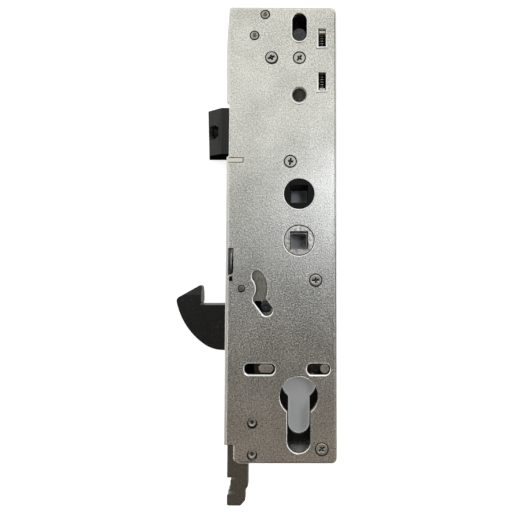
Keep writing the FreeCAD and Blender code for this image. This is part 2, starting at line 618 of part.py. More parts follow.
def latch_bolt():
    """Bolt with a curved bevel, slotted behind for its tail and counterbored for the screw."""
    half = LATCH_THICK / 2
    rear_x = FRONT_X + LATCH_TAIL_INSET
    front_low = Vector(FRONT_X - LATCH_FLAT_REACH, -half, LATCH_LOW_Z)
    bevel = Vector(FRONT_X - LATCH_BEVEL_REACH, LATCH_BEVEL_DEPTH - half, LATCH_LOW_Z)
    tip = Vector(FRONT_X - LATCH_TIP_REACH, half, LATCH_LOW_Z)
    rear_back = Vector(rear_x, half, LATCH_LOW_Z)
    rear_front = Vector(rear_x, -half, LATCH_LOW_Z)
    edges = [
        segment(rear_front, front_low),
        Part.Arc(front_low, bevel, tip).toShape(),
        segment(tip, rear_back),
        segment(rear_back, rear_front),
    ]
    body = Part.Face(Part.Wire(edges)).extrude(Vector(0, 0, LATCH_HEIGHT))
    slot_half = LATCH_ARM_THICK / 2 + RUNNING
    tongue_half = TAIL_TONGUE + LOOSE
    slot = block(rear_x - TAIL_TONGUE - SIDE_PLAY, rear_x + 1, -slot_half, slot_half,
                 LATCH_RISE - tongue_half, LATCH_RISE + tongue_half)
    bore_floor = FRONT_X - LATCH_SEAT_REACH
    bore_front = FRONT_X - LATCH_TIP_REACH - 1
    opening = -LATCH_COUNTERBORE_OPENING
    bore = cross_rod(0, LATCH_RISE, LATCH_COUNTERBORE_RADIUS, bore_front, bore_floor)
    near_bore = cross_rod(opening, LATCH_RISE, LATCH_COUNTERBORE_RADIUS, bore_front, bore_floor)
    between = block(bore_front, bore_floor, opening, 0,
                    LATCH_RISE - LATCH_COUNTERBORE_RADIUS, LATCH_RISE + LATCH_COUNTERBORE_RADIUS)
    bore = bore.fuse([near_bore, between]).removeSplitter()
    passage = cross_rod(0, LATCH_RISE, LATCH_SCREW_RADIUS + RUNNING, bore_floor, rear_x)
    return body.cut([slot, bore, passage])


def latch_screw():
    """Cap screw that pulls the tail into the bolt; its head has a hexagon socket."""
    seat = FRONT_X - LATCH_SEAT_REACH
    tip = FRONT_X + LATCH_TAIL_INSET - 1
    head = cross_rod(0, LATCH_RISE, LATCH_SCREW_HEAD_RADIUS, seat - LATCH_SCREW_HEAD_LENGTH, seat)
    shank = cross_rod(0, LATCH_RISE, LATCH_SCREW_RADIUS, seat, tip)
    corners = []
    for count in range(7):
        y, z = polar((0, LATCH_RISE), LATCH_SOCKET_RADIUS, 60 * count)
        corners.append(Vector(seat - LATCH_SCREW_HEAD_LENGTH, y, z))
    depth = LATCH_SCREW_HEAD_LENGTH - LATCH_SOCKET_FLOOR
    socket = Part.Face(Part.makePolygon(corners)).extrude(Vector(depth, 0, 0))
    return head.fuse(shank).cut(socket)


def latch_tail():
    """Flat tail of the bolt with a notch for the finger of the upper follower."""
    rear_x = FRONT_X + LATCH_TAIL_INSET
    nose = polar((0, 0), LATCH_ARM_REACH, 90 + UPPER_TURN / 2)
    notch_front = nose[0] - SMALL_NOSE_RADIUS - 3 * END_PLAY
    notch_rear = nose[0] + SMALL_NOSE_RADIUS + END_PLAY
    notch_top = LATCH_ARM_REACH + SMALL_NOSE_RADIUS + LOOSE
    low = nose[1] - 0.1
    heel = nose[1] + END_PLAY
    end_x = rear_x + TAIL_REACH
    tongue_low = LATCH_RISE - TAIL_TONGUE
    tongue_high = LATCH_RISE + TAIL_TONGUE
    shoulder = LATCH_HIGH_Z - TAIL_ROOT_DROP
    middle = LATCH_RISE + TAIL_RISE
    root_x = rear_x + TAIL_ROOT_LENGTH
    corners = [
        (rear_x - TAIL_TONGUE, tongue_low, 0.5),
        (rear_x - TAIL_TONGUE, tongue_high, 0.5),
        (rear_x + END_PLAY, tongue_high, 0),
        (rear_x + END_PLAY, shoulder, 0.5),
        (root_x, shoulder, 2),
        (root_x, middle, 1),
        (end_x, middle, 2),
        (end_x, heel, 0.5),
        (notch_rear, heel, 0.3),
        (notch_rear, notch_top, 0.5),
        (notch_front, notch_top, 0.5),
        (notch_front, low, 0.3),
        (rear_x + END_PLAY, low, 0.5),
        (rear_x + END_PLAY, tongue_low, 0),
    ]
    half = LATCH_ARM_THICK / 2
    body = plate(corners, -half, half)
    return body.cut(cross_rod(0, LATCH_RISE, LATCH_SCREW_RADIUS + RUNNING / 2, FRONT_X, rear_x))


def follower_hub(z):
    """Hub with a journal in each plate, before its square is cut."""
    hub = rod((0, z), HUB_RADIUS, PLATE_FRONT_Y, INNER_BACK_Y)
    return hub.fuse(rod((0, z), JOURNAL_RADIUS, FACE_Y, BACK_Y))


def spindle_square(z):
    half = SPINDLE_SQUARE / 2
    return block(-half, half, FACE_Y - 1, BACK_Y + 1, z - half, z + half)


def upper_follower():
    """Follower of the lever handle: a cranked finger for the latch and a short arm that lifts the slide."""
    nose = polar((0, 0), LATCH_ARM_REACH, 90 + UPPER_TURN / 2)
    bend = RIVET_SHANK_RADIUS + LOOSE
    inner_x = LATCH_PILLAR_X + bend
    inner_z = LATCH_PILLAR_Z + bend
    shoulder_z = nose[1] - END_PLAY
    corners = [
        (inner_x, ARM_ROOT * HUB_RADIUS, 0),
        (inner_x, inner_z, bend),
        (nose[0] - SMALL_NOSE_RADIUS, inner_z, 0.5),
        (nose[0] - SMALL_NOSE_RADIUS, nose[1] + SMALL_NOSE_RADIUS, SMALL_NOSE_RADIUS - 0.01),
        (nose[0] + SMALL_NOSE_RADIUS, nose[1] + SMALL_NOSE_RADIUS, SMALL_NOSE_RADIUS - 0.01),
        (nose[0] + SMALL_NOSE_RADIUS, shoulder_z, 0.2),
        (inner_x + LATCH_ARM_WIDTH, shoulder_z, 2.4),
        (inner_x + LATCH_ARM_ROOT_WIDTH, ARM_ROOT * HUB_RADIUS, 0),
    ]
    half = LATCH_ARM_THICK / 2
    latch_arm = plate(corners, -half, half)
    tip = polar((0, 0), LIFT_ARM_REACH, 180 + UPPER_TURN / 2)
    root = polar((0, 0), ARM_ROOT * HUB_RADIUS, 180 + UPPER_TURN / 2)
    lift_arm = capsule(root, tip, SMALL_NOSE_RADIUS, RETURN_FRONT_Y - SIDE_PLAY, RETURN_BACK_Y)
    return follower_hub(0).fuse([latch_arm, lift_arm]).cut(spindle_square(0))


def lower_follower():
    """Follower of the second spindle: one arm in the plane of the drive slide."""
    centre = (0, LOWER_Z)
    rest = 180 + LOWER_TURN / 2
    nose = polar(centre, DRIVE_ARM_REACH, rest)
    root = polar(centre, ARM_ROOT * HUB_RADIUS, rest)
    arm = capsule(root, nose, DRIVE_ARM_WIDTH / 2, PLATE_FRONT_Y, PLATE_BACK_Y)
    tip = rod(nose, DRIVE_NOSE_RADIUS, PLATE_FRONT_Y, PLATE_BACK_Y)
    return follower_hub(LOWER_Z).fuse([arm, tip]).cut(spindle_square(LOWER_Z))


def return_slide():
    """Sheet slide at the back: leg over the lift arm, crossbar, guide head with stud, and spring seat."""
    nose = polar((0, 0), LIFT_ARM_REACH, 180 + UPPER_TURN / 2)
    leg_rear = -HUB_RADIUS - END_PLAY
    leg_front = leg_rear - RETURN_LEG_WIDTH
    leg_low = nose[1] + SMALL_NOSE_RADIUS + 2 * SIDE_PLAY
    stud = (STUD_X, TOP_Z - STUD_DROP)
    seat_front = SPRING_X - TAB_WIDTH / 2
    seat_rear = SPRING_X + TAB_WIDTH / 2
    strip_front = TOP_RIVET_X + RIVET_SHANK_RADIUS + 4 * LOOSE
    strip_rear = STUD_X - RIVET_SHANK_RADIUS - 4 * LOOSE
    head_half = RETURN_HEAD / 2
    corners = [
        (leg_front, leg_low, 0.3),
        (leg_front, CROSSBAR_RISE + CROSSBAR_WIDTH, 2),
        (strip_front, CROSSBAR_RISE + CROSSBAR_WIDTH, 1),
        (strip_front, stud[1] + head_half, 1.5),
        (STUD_X + head_half, stud[1] + head_half, 1.5),
        (STUD_X + head_half, stud[1] - head_half, 1.5),
        (strip_rear, stud[1] - head_half, 1),
        (strip_rear, CROSSBAR_RISE + CROSSBAR_WIDTH, 1),
        (seat_rear, CROSSBAR_RISE + CROSSBAR_WIDTH, 1.5),
        (seat_rear, SEAT_Z - TAB_THICK, 0),
        (seat_front, SEAT_Z - TAB_THICK, 0),
        (seat_front, CROSSBAR_RISE, 0.5),
        (leg_rear, CROSSBAR_RISE, 1),
        (leg_rear, leg_low, 0.3),
    ]
    body = plate(corners, RETURN_FRONT_Y, RETURN_BACK_Y)
    seat = block(seat_front, seat_rear, COVER_BACK_Y + 3 * SIDE_PLAY, RETURN_BACK_Y, SEAT_Z - TAB_THICK, SEAT_Z)
    pin = rod(stud, STUD_RADIUS, FACE_Y + STUD_RECESS, RETURN_FRONT_Y)
    return body.fuse([seat, pin])


def spring_abutment():
    """Angle on the case floor against which the return spring pushes."""
    front = SPRING_X - TAB_WIDTH / 2
    rear = SPRING_X + TAB_WIDTH / 2
    shelf = block(front, rear, COVER_BACK_Y + 3 * SIDE_PLAY, FLOOR_Y, ABUTMENT_Z, ABUTMENT_Z + TAB_THICK)
    foot = block(front, rear, FLOOR_Y - TAB_THICK, FLOOR_Y, ABUTMENT_Z, TOP_Z - WALL)
    return shelf.fuse(foot)


def arc_between(start, heading, end):
    """Arc that leaves a point along a heading whose tangents meet at one apex before the end."""
    chord = end - start
    half = chord.Length / 2
    slope = heading.getAngle(chord)
    apex = start + heading * (half / math.cos(slope))
    middle = start + chord * 0.5
    bulge = (apex - middle).normalize() * (half * math.tan(slope / 2))
    return Part.Arc(start, middle + bulge, end).toShape()


def return_spring():
    """Compression spring: one six-sided wire swept along a helix of two tangent arcs each half turn."""
    radius = SPRING_RADIUS - SPRING_WIRE / 2
    low = SEAT_Z + SPRING_WIRE / 2 + RUNNING
    rise = SPRING_LENGTH - SPRING_WIRE - 2 * RUNNING
    turn = 2 * math.pi * SPRING_CURLS
    slope = rise / turn
    steps = 2 * SPRING_CURLS
    points = []
    headings = []
    for count in range(steps + 1):
        angle = turn * count / steps
        points.append(Vector(SPRING_X + radius * math.cos(angle), SPRING_Y + radius * math.sin(angle),
                             low + slope * angle))
        headings.append(Vector(-radius * math.sin(angle), radius * math.cos(angle), slope).normalize())
    edges = []
    for start, end, leave, arrive in zip(points, points[1:], headings, headings[1:]):
        chord = end - start
        spread = 1 - leave.dot(arrive)
        lean = chord.dot(leave + arrive)
        reach = (math.sqrt(lean * lean + 2 * spread * chord.dot(chord)) - lean) / (2 * spread)
        joint = (start + leave * reach + end - arrive * reach) * 0.5
        through = (end - arrive * reach - start - leave * reach).normalize()
        edges.append(arc_between(start, leave, joint))
        edges.append(arc_between(joint, through, end))
    outward = Vector(1, 0, 0)
    upward = headings[0].cross(outward)
    ring = []
    for count in range(SPRING_SECTION_SIDES + 1):
        angle = 2 * math.pi * count / SPRING_SECTION_SIDES
        ring.append(points[0] + (outward * math.cos(angle) + upward * math.sin(angle)) * (SPRING_WIRE / 2))
    spring = Part.Wire(edges).makePipeShell([Part.makePolygon(ring)], True, False)
    gaps = [(points[i] - points[j]).Length for i in range(len(points)) for j in range(i + 2, len(points))]
    print("return spring: curls", SPRING_CURLS, "least gap", round(min(gaps) - SPRING_WIRE, 3), "mm")
    return spring


def hook_pivot_pin():
    return rod(PIVOT, PIVOT_PIN_RADIUS, FACE_Y, BACK_Y)


def hook_spacer():
    """Bush on the pivot pin that keeps the hook off the case floor."""
    front = HOOK_THICK / 2 + END_PLAY
    body = rod(PIVOT, SPACER_RADIUS, front, INNER_BACK_Y)
    return body.cut(rod(PIVOT, PIVOT_PIN_RADIUS + RUNNING, front - 1, INNER_BACK_Y + 1))


def pocket_ends():
    """Centres of the two round ends of the pocket in the hook's tail, for the hook thrown out."""
    outer = (DRIVE_PIN[0] + POCKET_PLAY[0], DRIVE_PIN[1] + POCKET_PLAY[1])
    inner = polar(outer, POCKET_LENGTH, 180 - POCKET_SLOPE)
    return outer, inner


def hook_bolt():
    """Swinging hook: claw with a catch face, hub on the pivot and a tail with a pocket for the drive pin."""
    throat_x = FRONT_X - HOOK_THROAT_REACH
    throat_z = PIVOT[1] - HOOK_THROAT_DROP
    nose_z = PIVOT[1] + HOOK_NOSE_RISE
    fall = math.tan(math.radians(HOOK_NOSE_SLOPE))
    far_x = PIVOT[0] - HOOK_SWING_RADIUS - 1
    bottom_z = PIVOT[1] - HOOK_SWING_RADIUS + HOOK_CHIN_CUT
    rear_x = FRONT_X + HOOK_REAR_INSET
    outer, inner = pocket_ends()
    web = POCKET_WIDTH / 2 + POCKET_WEB
    half = HOOK_THICK / 2
    corners = [
        (throat_x, nose_z, 1.2),
        (throat_x, throat_z + 3 * HOOK_BARB, 0.25),
        (throat_x - HOOK_BARB, throat_z + HOOK_BARB, 0.25),
        (throat_x, throat_z, 0.25),
        (FRONT_X - END_PLAY, throat_z, HOOK_THROAT_RADIUS),
        (PIVOT[0] - HOOK_HUB_RADIUS + 1, PIVOT[1] - HOOK_SHOULDER_DROP, 0),
        (outer[0], outer[1], 0),
        (outer[0] + 1, outer[1] - web, 1),
        (rear_x, bottom_z, HOOK_HEEL_RADIUS),
        (far_x, bottom_z, 0),
        (far_x, nose_z - (throat_x - far_x) * fall, 0),
    ]
    blank = plate(corners, -half, half).common(rod(PIVOT, HOOK_SWING_RADIUS, -half, half))
    chin = (PIVOT[0] - math.sqrt(HOOK_SWING_RADIUS ** 2 - (PIVOT[1] - bottom_z) ** 2), bottom_z)
    blank = blank.makeFillet(HOOK_CHIN_RADIUS, edges_along_y(blank, [chin]))
    tip = polar(PIVOT, HOOK_SWING_RADIUS, HOOK_TIP_BEARING)
    blank = blank.makeFillet(HOOK_TIP_RADIUS, edges_along_y(blank, [tip]))
    tail = capsule(outer, inner, web, -half, half)
    hub = rod(PIVOT, HOOK_HUB_RADIUS, -half, half)
    body = blank.fuse([tail, hub]).removeSplitter()
    pocket = capsule(outer, inner, POCKET_WIDTH / 2, -half - 1, half + 1)
    return body.cut([pocket, rod(PIVOT, PIVOT_PIN_RADIUS + RUNNING, -half - 1, half + 1)])


def hook_drive_pin():
    return rod(DRIVE_PIN, DRIVE_PIN_RADIUS, COVER_BACK_Y + END_PLAY, FLOOR_Y - END_PLAY)


def slide_notch(z_middle):
    """Notch in the rear edge of the drive slide that takes the tongue of the deadlock slide."""
    half = DEADLOCK_TONGUE / 2 + TONGUE_PLAY
    edge = FRONT_X + SLIDE_NARROW_INSET
    return block(edge - DEADLOCK_NOTCH_DEPTH, edge + 1, FACE_Y, 0, z_middle - half, z_middle + half)


def drive_slide():
    """Long slide behind the cover plate, moved by the lower follower."""
    upper_x = FRONT_X + SLIDE_UPPER_INSET
    lower_x = WALL_X + END_PLAY
    arm_x = -HUB_RADIUS - SLIDE_ARM_CLEARANCE
    wide_x = DRIVE_PIN[0] + DRIVE_PIN_RADIUS + END_PLAY + SLIDE_WEB
    narrow_x = FRONT_X + SLIDE_NARROW_INSET
    shoulder_z = PIVOT[1] - SLIDE_SHOULDER_DROP
    lap_low = BOTTOM_Z + LAP_TOP_RISE - LAP_LENGTH
    corners = [
        (upper_x, -SLIDE_TOP_DROP, 1),
        (arm_x, -SLIDE_TOP_DROP, 1),
        (arm_x, PIVOT[1] + SLIDE_CROWN_RISE, 1),
        (wide_x, PIVOT[1], 1),
        (wide_x, -SLIDE_STEP_DROP, 1.5),
        (narrow_x, -SLIDE_STEP_DROP, 1.5),
        (narrow_x, lap_low, 0.3),
        (lower_x, lap_low, 0.3),
        (lower_x, shoulder_z, 0.4),
        (upper_x, shoulder_z, 0.4),
    ]
    body = plate(corners, PLATE_FRONT_Y, PLATE_BACK_Y)
    nose = polar((0, LOWER_Z), DRIVE_ARM_REACH, 180 + LOWER_TURN / 2)
    mouth = DRIVE_NOSE_RADIUS + END_PLAY
    floor_x = -DRIVE_ARM_REACH - DRIVE_NOSE_RADIUS - END_PLAY
    pin_half = DRIVE_PIN_RADIUS + 2 * RUNNING
    pin_slot = capsule((DRIVE_PIN[0] - DRIVE_PIN_TRAVEL - END_PLAY, DRIVE_PIN[1]),
                       (DRIVE_PIN[0] + END_PLAY, DRIVE_PIN[1]), pin_half, FACE_Y, 0)
    pivot_slot = capsule((PIVOT[0], PIVOT[1] + END_PLAY), (PIVOT[0], PIVOT[1] - DRIVE_TRAVEL - END_PLAY),
                         PIVOT_PIN_RADIUS + 2 * SIDE_PLAY, FACE_Y, 0)
    cuts = [
        rounded_box(floor_x, arm_x + 1, nose[1] - mouth, nose[1] + mouth, 0.3, FACE_Y, 0),
        pin_slot,
        pivot_slot,
        slide_notch(DEADLOCK_Z),
        slide_notch(DEADLOCK_Z - DRIVE_TRAVEL),
        block(lower_x - 1, narrow_x + 1, lap_plane(), 0, lap_low - 1, lap_low + LAP_LENGTH),
    ]
    cuts += foot_rivet_rods(FOOT_RIVET_RADIUS + RUNNING / 2)
    return body.cut(cuts)


def lap_plane():
    """Depth at which the lap joint of slide and foot is halved."""
    return (PLATE_FRONT_Y + PLATE_BACK_Y) / 2


def foot_rivet_rods(radius):
    z_middle = BOTTOM_Z + LAP_TOP_RISE - LAP_LENGTH / 2
    x_middle = (WALL_X + END_PLAY + FRONT_X + SLIDE_NARROW_INSET) / 2
    return [rod((x_middle + side * FOOT_RIVET_SPREAD, z_middle), radius, PLATE_FRONT_Y, PLATE_BACK_Y)
            for side in (-1, 1)]


def foot_rivets():
    return Part.makeCompound(foot_rivet_rods(FOOT_RIVET_RADIUS))


def drive_foot():
    """Steel end of the drive slide that leaves the case and carries the claw for the lower rod."""
    bottom = BOTTOM_Z - FOOT_DROP
    lap_top = BOTTOM_Z + LAP_TOP_RISE
    upper_x = WALL_X + END_PLAY
    front_x = FRONT_X + FOOT_FRONT_INSET
    rear_x = FRONT_X + FOOT_REAR_INSET
    slide_x = FRONT_X + SLIDE_NARROW_INSET
    slot_x = FRONT_X + FOOT_SLOT_INSET
    tongue_x = FRONT_X + FOOT_TONGUE_INSET
    toe_x = FRONT_X + FOOT_TOE_INSET
    lip_x = front_x + FOOT_LIP_INSET
    neck_top = BOTTOM_Z - FOOT_NECK_DROP
    lip_top = bottom + FOOT_LIP_RISE
    toe_top = bottom + FOOT_TOE_RISE
    corners = [
        (upper_x, lap_top, 0.3),
        (slide_x, lap_top, 0.3),
        (slide_x, lap_top - LAP_LENGTH, 0),
        (rear_x, lap_top - LAP_LENGTH - LOOSE, 0.3),
        (rear_x, lip_top + FOOT_ANKLE_RISE, 0.5),
        (toe_x, lip_top, 0.5),
        (toe_x, bottom + FOOT_HEEL_STEP[1], 0.8),
        (toe_x - FOOT_HEEL_STEP[0], bottom, 0.8),
        (front_x, bottom, 0.9),
        (front_x, toe_top - FOOT_TOE_SLOPE, 0.3),
        (tongue_x - FOOT_LIP_INSET, toe_top, 0.2),
        (slot_x, toe_top, 0.3),
        (slot_x, toe_top + FOOT_SLOT_HEIGHT, 0.3),
        (lip_x, toe_top + FOOT_SLOT_HEIGHT, 0.2),
        (lip_x, lip_top, 0.2),
        (tongue_x, lip_top, 0.2),
        (tongue_x, neck_top - FOOT_SLOT_HEIGHT, 0.3),
        (slot_x, neck_top - FOOT_SLOT_HEIGHT, 0.3),
        (slot_x, neck_top, 0.3),
        (front_x, neck_top, 0.3),
        (front_x, BOTTOM_Z + FOOT_SHOULDER_RISE, 0.5),
        (upper_x, BOTTOM_Z + FOOT_SHOULDER_RISE + FOOT_SHOULDER_SLANT, 0),
    ]
    body = plate(corners, PLATE_FRONT_Y, PLATE_BACK_Y)
    half_lap = block(upper_x - 1, slide_x + 1, FACE_Y, lap_plane(),
                     lap_top - LAP_LENGTH - RUNNING, lap_top + 1)
    return body.cut([half_lap] + foot_rivet_rods(FOOT_RIVET_RADIUS + RUNNING / 2))


def deadlock_slide():
    """Slide over the cylinder: tongue towards the drive slide, gate for the cylinder's cam, two lugs."""
    tongue_low = DEADLOCK_Z - DEADLOCK_TONGUE / 2
    tongue_high = DEADLOCK_Z + DEADLOCK_TONGUE / 2
    top = CYLINDER_Z + DEADLOCK_TOP_RISE
    gate = GATE_WIDTH / 2
    corners = [
        (DEADLOCK_FRONT_X, tongue_low, 0.5),
        (DEADLOCK_FRONT_X, tongue_high, 0.5),
        (-gate - GATE_EDGE - GATE_TAPER, tongue_high, 1),
        (-gate - GATE_EDGE, top, 1.5),
        (DEADLOCK_REAR_X, top, 1.5),
        (DEADLOCK_REAR_X, tongue_low, 0.5),
        (gate, tongue_low, 0),
        (gate, tongue_high, 1),
        (-gate, tongue_high, 1),
        (-gate, tongue_low, 0),
    ]
    back = PLATE_FRONT_Y + DEADLOCK_THICK
    body = plate(corners, PLATE_FRONT_Y, back)
    lug_top = tongue_high - GATE_EDGE
    front_lug = block(-gate - LUG_GUIDE_WIDTH, -gate, back, BLOCK_BACK_Y, tongue_low, lug_top)
    rear_lug = block(gate, DEADLOCK_REAR_X, back, BLOCK_BACK_Y, tongue_low, lug_top)
    body = body.fuse([front_lug, rear_lug])
    room = rod((DEADLOCK_THROW, CYLINDER_Z), CAM_RADIUS, FACE_Y, BACK_Y)
    front_room = room.common(block(-2 * gate, 0, FACE_Y, BACK_Y, CYLINDER_Z, top))
    rear_room = rod((0, CYLINDER_Z), CAM_RADIUS, FACE_Y, BACK_Y)
    rear_room = rear_room.common(block(0, 2 * gate, FACE_Y, BACK_Y, CYLINDER_Z, top))
    holes = [front_room, rear_room]
    holes.append(rod((DEADLOCK_PIN_X, DEADLOCK_Z), DEADLOCK_PIN_RADIUS + RUNNING, FACE_Y, back))
    holes.append(rod((LUG_X, DEADLOCK_Z), LUG_STEM_RADIUS + RUNNING, FACE_Y, back))
    return body.cut(holes)


def deadlock_lug():
    """Oblong guide stud of the deadlock slide in the front slot of the cover plate."""
    reach = LUG_LENGTH / 2
    half = LUG_HEIGHT / 2
    head = rounded_box(LUG_X - reach, LUG_X + reach, DEADLOCK_Z - half, DEADLOCK_Z + half, LUG_CORNER_RADIUS,
                       FACE_Y + LUG_RECESS, PLATE_FRONT_Y)
    return head.fuse(rod((LUG_X, DEADLOCK_Z), LUG_STEM_RADIUS, PLATE_FRONT_Y, PLATE_FRONT_Y + DEADLOCK_THICK))


def deadlock_pin():
    return rod((DEADLOCK_PIN_X, DEADLOCK_Z), DEADLOCK_PIN_RADIUS, FACE_Y + LUG_RECESS,
               PLATE_FRONT_Y + DEADLOCK_THICK)


PIECES = (
    back_case, cover_plate, pillar_rivets, block_pins, top_screw_block, cylinder_screw_block,
    plate_screw_collar, fixing_tube, latch_guide, latch_bolt, latch_screw, latch_tail, upper_follower,
    lower_follower, return_slide, spring_abutment, return_spring, hook_pivot_pin, hook_spacer, hook_bolt,
    hook_drive_pin, drive_slide, drive_foot, foot_rivets, deadlock_slide, deadlock_lug, deadlock_pin,
)

os.makedirs("parts", exist_ok=True)
for piece in PIECES:
    shape = piece()
    print(piece.__name__, "solids", len(shape.Solids), "volume", round(shape.Volume, 1), "valid", shape.isValid())
    shape.exportStep("parts/" + piece.__name__ + ".step")
print("travels: latch", round(LATCH_TRAVEL, 3), "lift", round(LIFT_TRAVEL, 3), "drive", round(DRIVE_TRAVEL, 3))
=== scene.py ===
import bpy
import bmesh
import numpy as np
from math import radians
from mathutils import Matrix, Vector


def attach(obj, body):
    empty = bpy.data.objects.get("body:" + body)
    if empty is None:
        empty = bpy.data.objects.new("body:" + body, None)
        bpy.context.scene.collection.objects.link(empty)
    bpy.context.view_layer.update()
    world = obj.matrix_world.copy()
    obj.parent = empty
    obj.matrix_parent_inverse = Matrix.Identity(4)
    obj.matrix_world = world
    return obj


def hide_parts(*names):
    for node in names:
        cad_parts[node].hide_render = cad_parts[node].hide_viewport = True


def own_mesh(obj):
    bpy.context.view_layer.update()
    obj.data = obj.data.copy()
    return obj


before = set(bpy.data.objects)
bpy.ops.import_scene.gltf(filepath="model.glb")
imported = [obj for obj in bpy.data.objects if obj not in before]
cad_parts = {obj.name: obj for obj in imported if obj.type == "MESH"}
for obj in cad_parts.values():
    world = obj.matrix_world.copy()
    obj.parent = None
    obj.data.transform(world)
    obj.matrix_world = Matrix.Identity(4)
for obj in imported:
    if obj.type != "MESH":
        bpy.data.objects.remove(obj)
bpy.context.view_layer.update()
MM = 0.001

# The view. The lock is seen square on from its cover plate, 148 mm away, level with the lower
# spindle and tipped up a little, through a short lens, so that the inside walls of the cut-outs
# show.
LENS_MM = 22.6
CAMERA_AT = (0.0, -156.0, -24.57)
TIP_UP = 2.25
ROLL = 0.1
camera = bpy.data.objects.new("camera", bpy.data.cameras.new("camera"))
camera.data.lens = LENS_MM
camera.data.sensor_width = 36.0
camera.data.shift_x = -0.0841
camera.data.shift_y = -0.0424
camera.data.clip_start = 0.01
camera.data.clip_end = 20.0
camera.location = [at * MM for at in CAMERA_AT]
camera.rotation_euler = (radians(90 + TIP_UP), radians(-ROLL), 0)
bpy.context.scene.collection.objects.link(camera)
bpy.context.scene.camera = camera
bpy.context.scene.view_settings.view_transform = "Standard"


def paint(hex_colour):
    """Linear colour of an sRGB hex value, as Blender's colour sockets take it."""
    shares = np.array([int(hex_colour[i:i + 2], 16) for i in (1, 3, 5)]) / 255
    linear = np.where(shares <= 0.04045, shares / 12.92, ((shares + 0.055) / 1.055) ** 2.4)
    return [*linear.tolist(), 1.0]


def put(tree, kind, fills=None, **settings):
    """Adds one node of a kind, sets its properties, and fills its inputs with values, sockets of
    other nodes, or nodes, whose first output is meant."""
    made = tree.nodes.new(kind)
    for name, value in settings.items():
        setattr(made, name, value)
    for key, value in (fills or {}).items():
        if isinstance(value, bpy.types.Node):
            value = value.outputs[0]
        if isinstance(value, bpy.types.NodeSocket):
            tree.links.new(value, made.inputs[key])
        else:
            made.inputs[key].default_value = value
    return made


# The floor. The lock lies with its back on a plain pale sheet of matt paper, which shows grey
# through its cut-outs, and a little lighter through the cylinder's hole, where a pool of light is
# painted on it. The paper is clear from behind, and for what touches it, so that the back of the
# lock can be seen.
SHEET_Y = 8.4
SHEET_REACH = 700
SHEET_GLOW = 0.72     # light added to the paper where it is seen beside the lock
# painted light: a share of the glow laid on the paper below the cylinder's hole
KEY_PAINTED_LIGHT = 0.11       # share of that light under the cylinder's hole
KEY_FADE = (-80, -84)
FIBRE_MM = 1.5
TOUCH_MM = 1.2
CASE_MIDDLE = (-8.0, -16.5)
CASE_HALF = (23.5, 103.0)
paper = bpy.data.materials.new("matt_paper")
paper.use_nodes = True
tree = paper.node_tree
tree.nodes.clear()
place = put(tree, "ShaderNodeTexCoord").outputs["Object"]
fibres = put(tree, "ShaderNodeTexNoise",
             {"Vector": place, "Scale": 1 / (FIBRE_MM * MM), "Detail": 3.0})
shade = put(tree, "ShaderNodeMix", {0: fibres, 6: paint("#eff0f4"), 7: paint("#f5f6f9")},
            data_type="RGBA")
diffuse = put(tree, "ShaderNodeBsdfDiffuse", {"Color": shade.outputs[2]})
axes = put(tree, "ShaderNodeSeparateXYZ", {0: place})
away = []
for axis, middle, half in zip("XZ", CASE_MIDDLE, CASE_HALF):
    offset = put(tree, "ShaderNodeMath", {0: axes.outputs[axis], 1: middle * MM},
                 operation="SUBTRACT")
    reach = put(tree, "ShaderNodeMath", {0: offset}, operation="ABSOLUTE")
    away.append(put(tree, "ShaderNodeMath", {0: reach, 1: half * MM}, operation="GREATER_THAN"))
outside = put(tree, "ShaderNodeMath", {0: away[0], 1: away[1]}, operation="MAXIMUM")
# painted light: below the cylinder's hole the paper glows by position, a painted pool of light
painted_key_light = put(tree, "ShaderNodeMapRange",
                {"Value": axes.outputs["Z"], 1: KEY_FADE[0] * MM, 2: KEY_FADE[1] * MM, 4: KEY_PAINTED_LIGHT})
shown = put(tree, "ShaderNodeMath", {0: outside, 1: painted_key_light}, operation="MAXIMUM")
path = put(tree, "ShaderNodeLightPath")
seen = put(tree, "ShaderNodeMath",
           {0: path.outputs["Is Camera Ray"], 1: path.outputs["Is Glossy Ray"]},
           operation="MAXIMUM")
seen = put(tree, "ShaderNodeMath", {0: seen, 1: path.outputs["Is Transmission Ray"]},
           operation="MAXIMUM")
seen = put(tree, "ShaderNodeMath", {0: seen, 1: shown}, operation="MULTIPLY")
dark = put(tree, "ShaderNodeEmission", {"Strength": 0.0})
glow = put(tree, "ShaderNodeEmission", {"Strength": SHEET_GLOW})
lift = put(tree, "ShaderNodeMixShader", {0: seen, 1: dark, 2: glow})
front = put(tree, "ShaderNodeAddShader", {0: diffuse, 1: lift})
side = put(tree, "ShaderNodeNewGeometry")
touching = put(tree, "ShaderNodeMath", {0: path.outputs["Ray Length"], 1: TOUCH_MM * MM},
               operation="LESS_THAN")
clear = put(tree, "ShaderNodeMath", {0: side.outputs["Backfacing"], 1: touching},
            operation="MAXIMUM")
nothing = put(tree, "ShaderNodeBsdfTransparent")
both = put(tree, "ShaderNodeMixShader", {0: clear, 1: front, 2: nothing})
put(tree, "ShaderNodeOutputMaterial", {"Surface": both})
mesh = bpy.data.meshes.new("floor")
mesh.from_pydata([(x * SHEET_REACH * MM, SHEET_Y * MM, z * SHEET_REACH * MM)
                  for x, z in ((-1, -1), (1, -1), (1, 1), (-1, 1))], [], [(0, 1, 2, 3)])
mesh.materials.append(paper)
floor = bpy.data.objects.new("floor", mesh)
bpy.context.scene.collection.objects.link(floor)

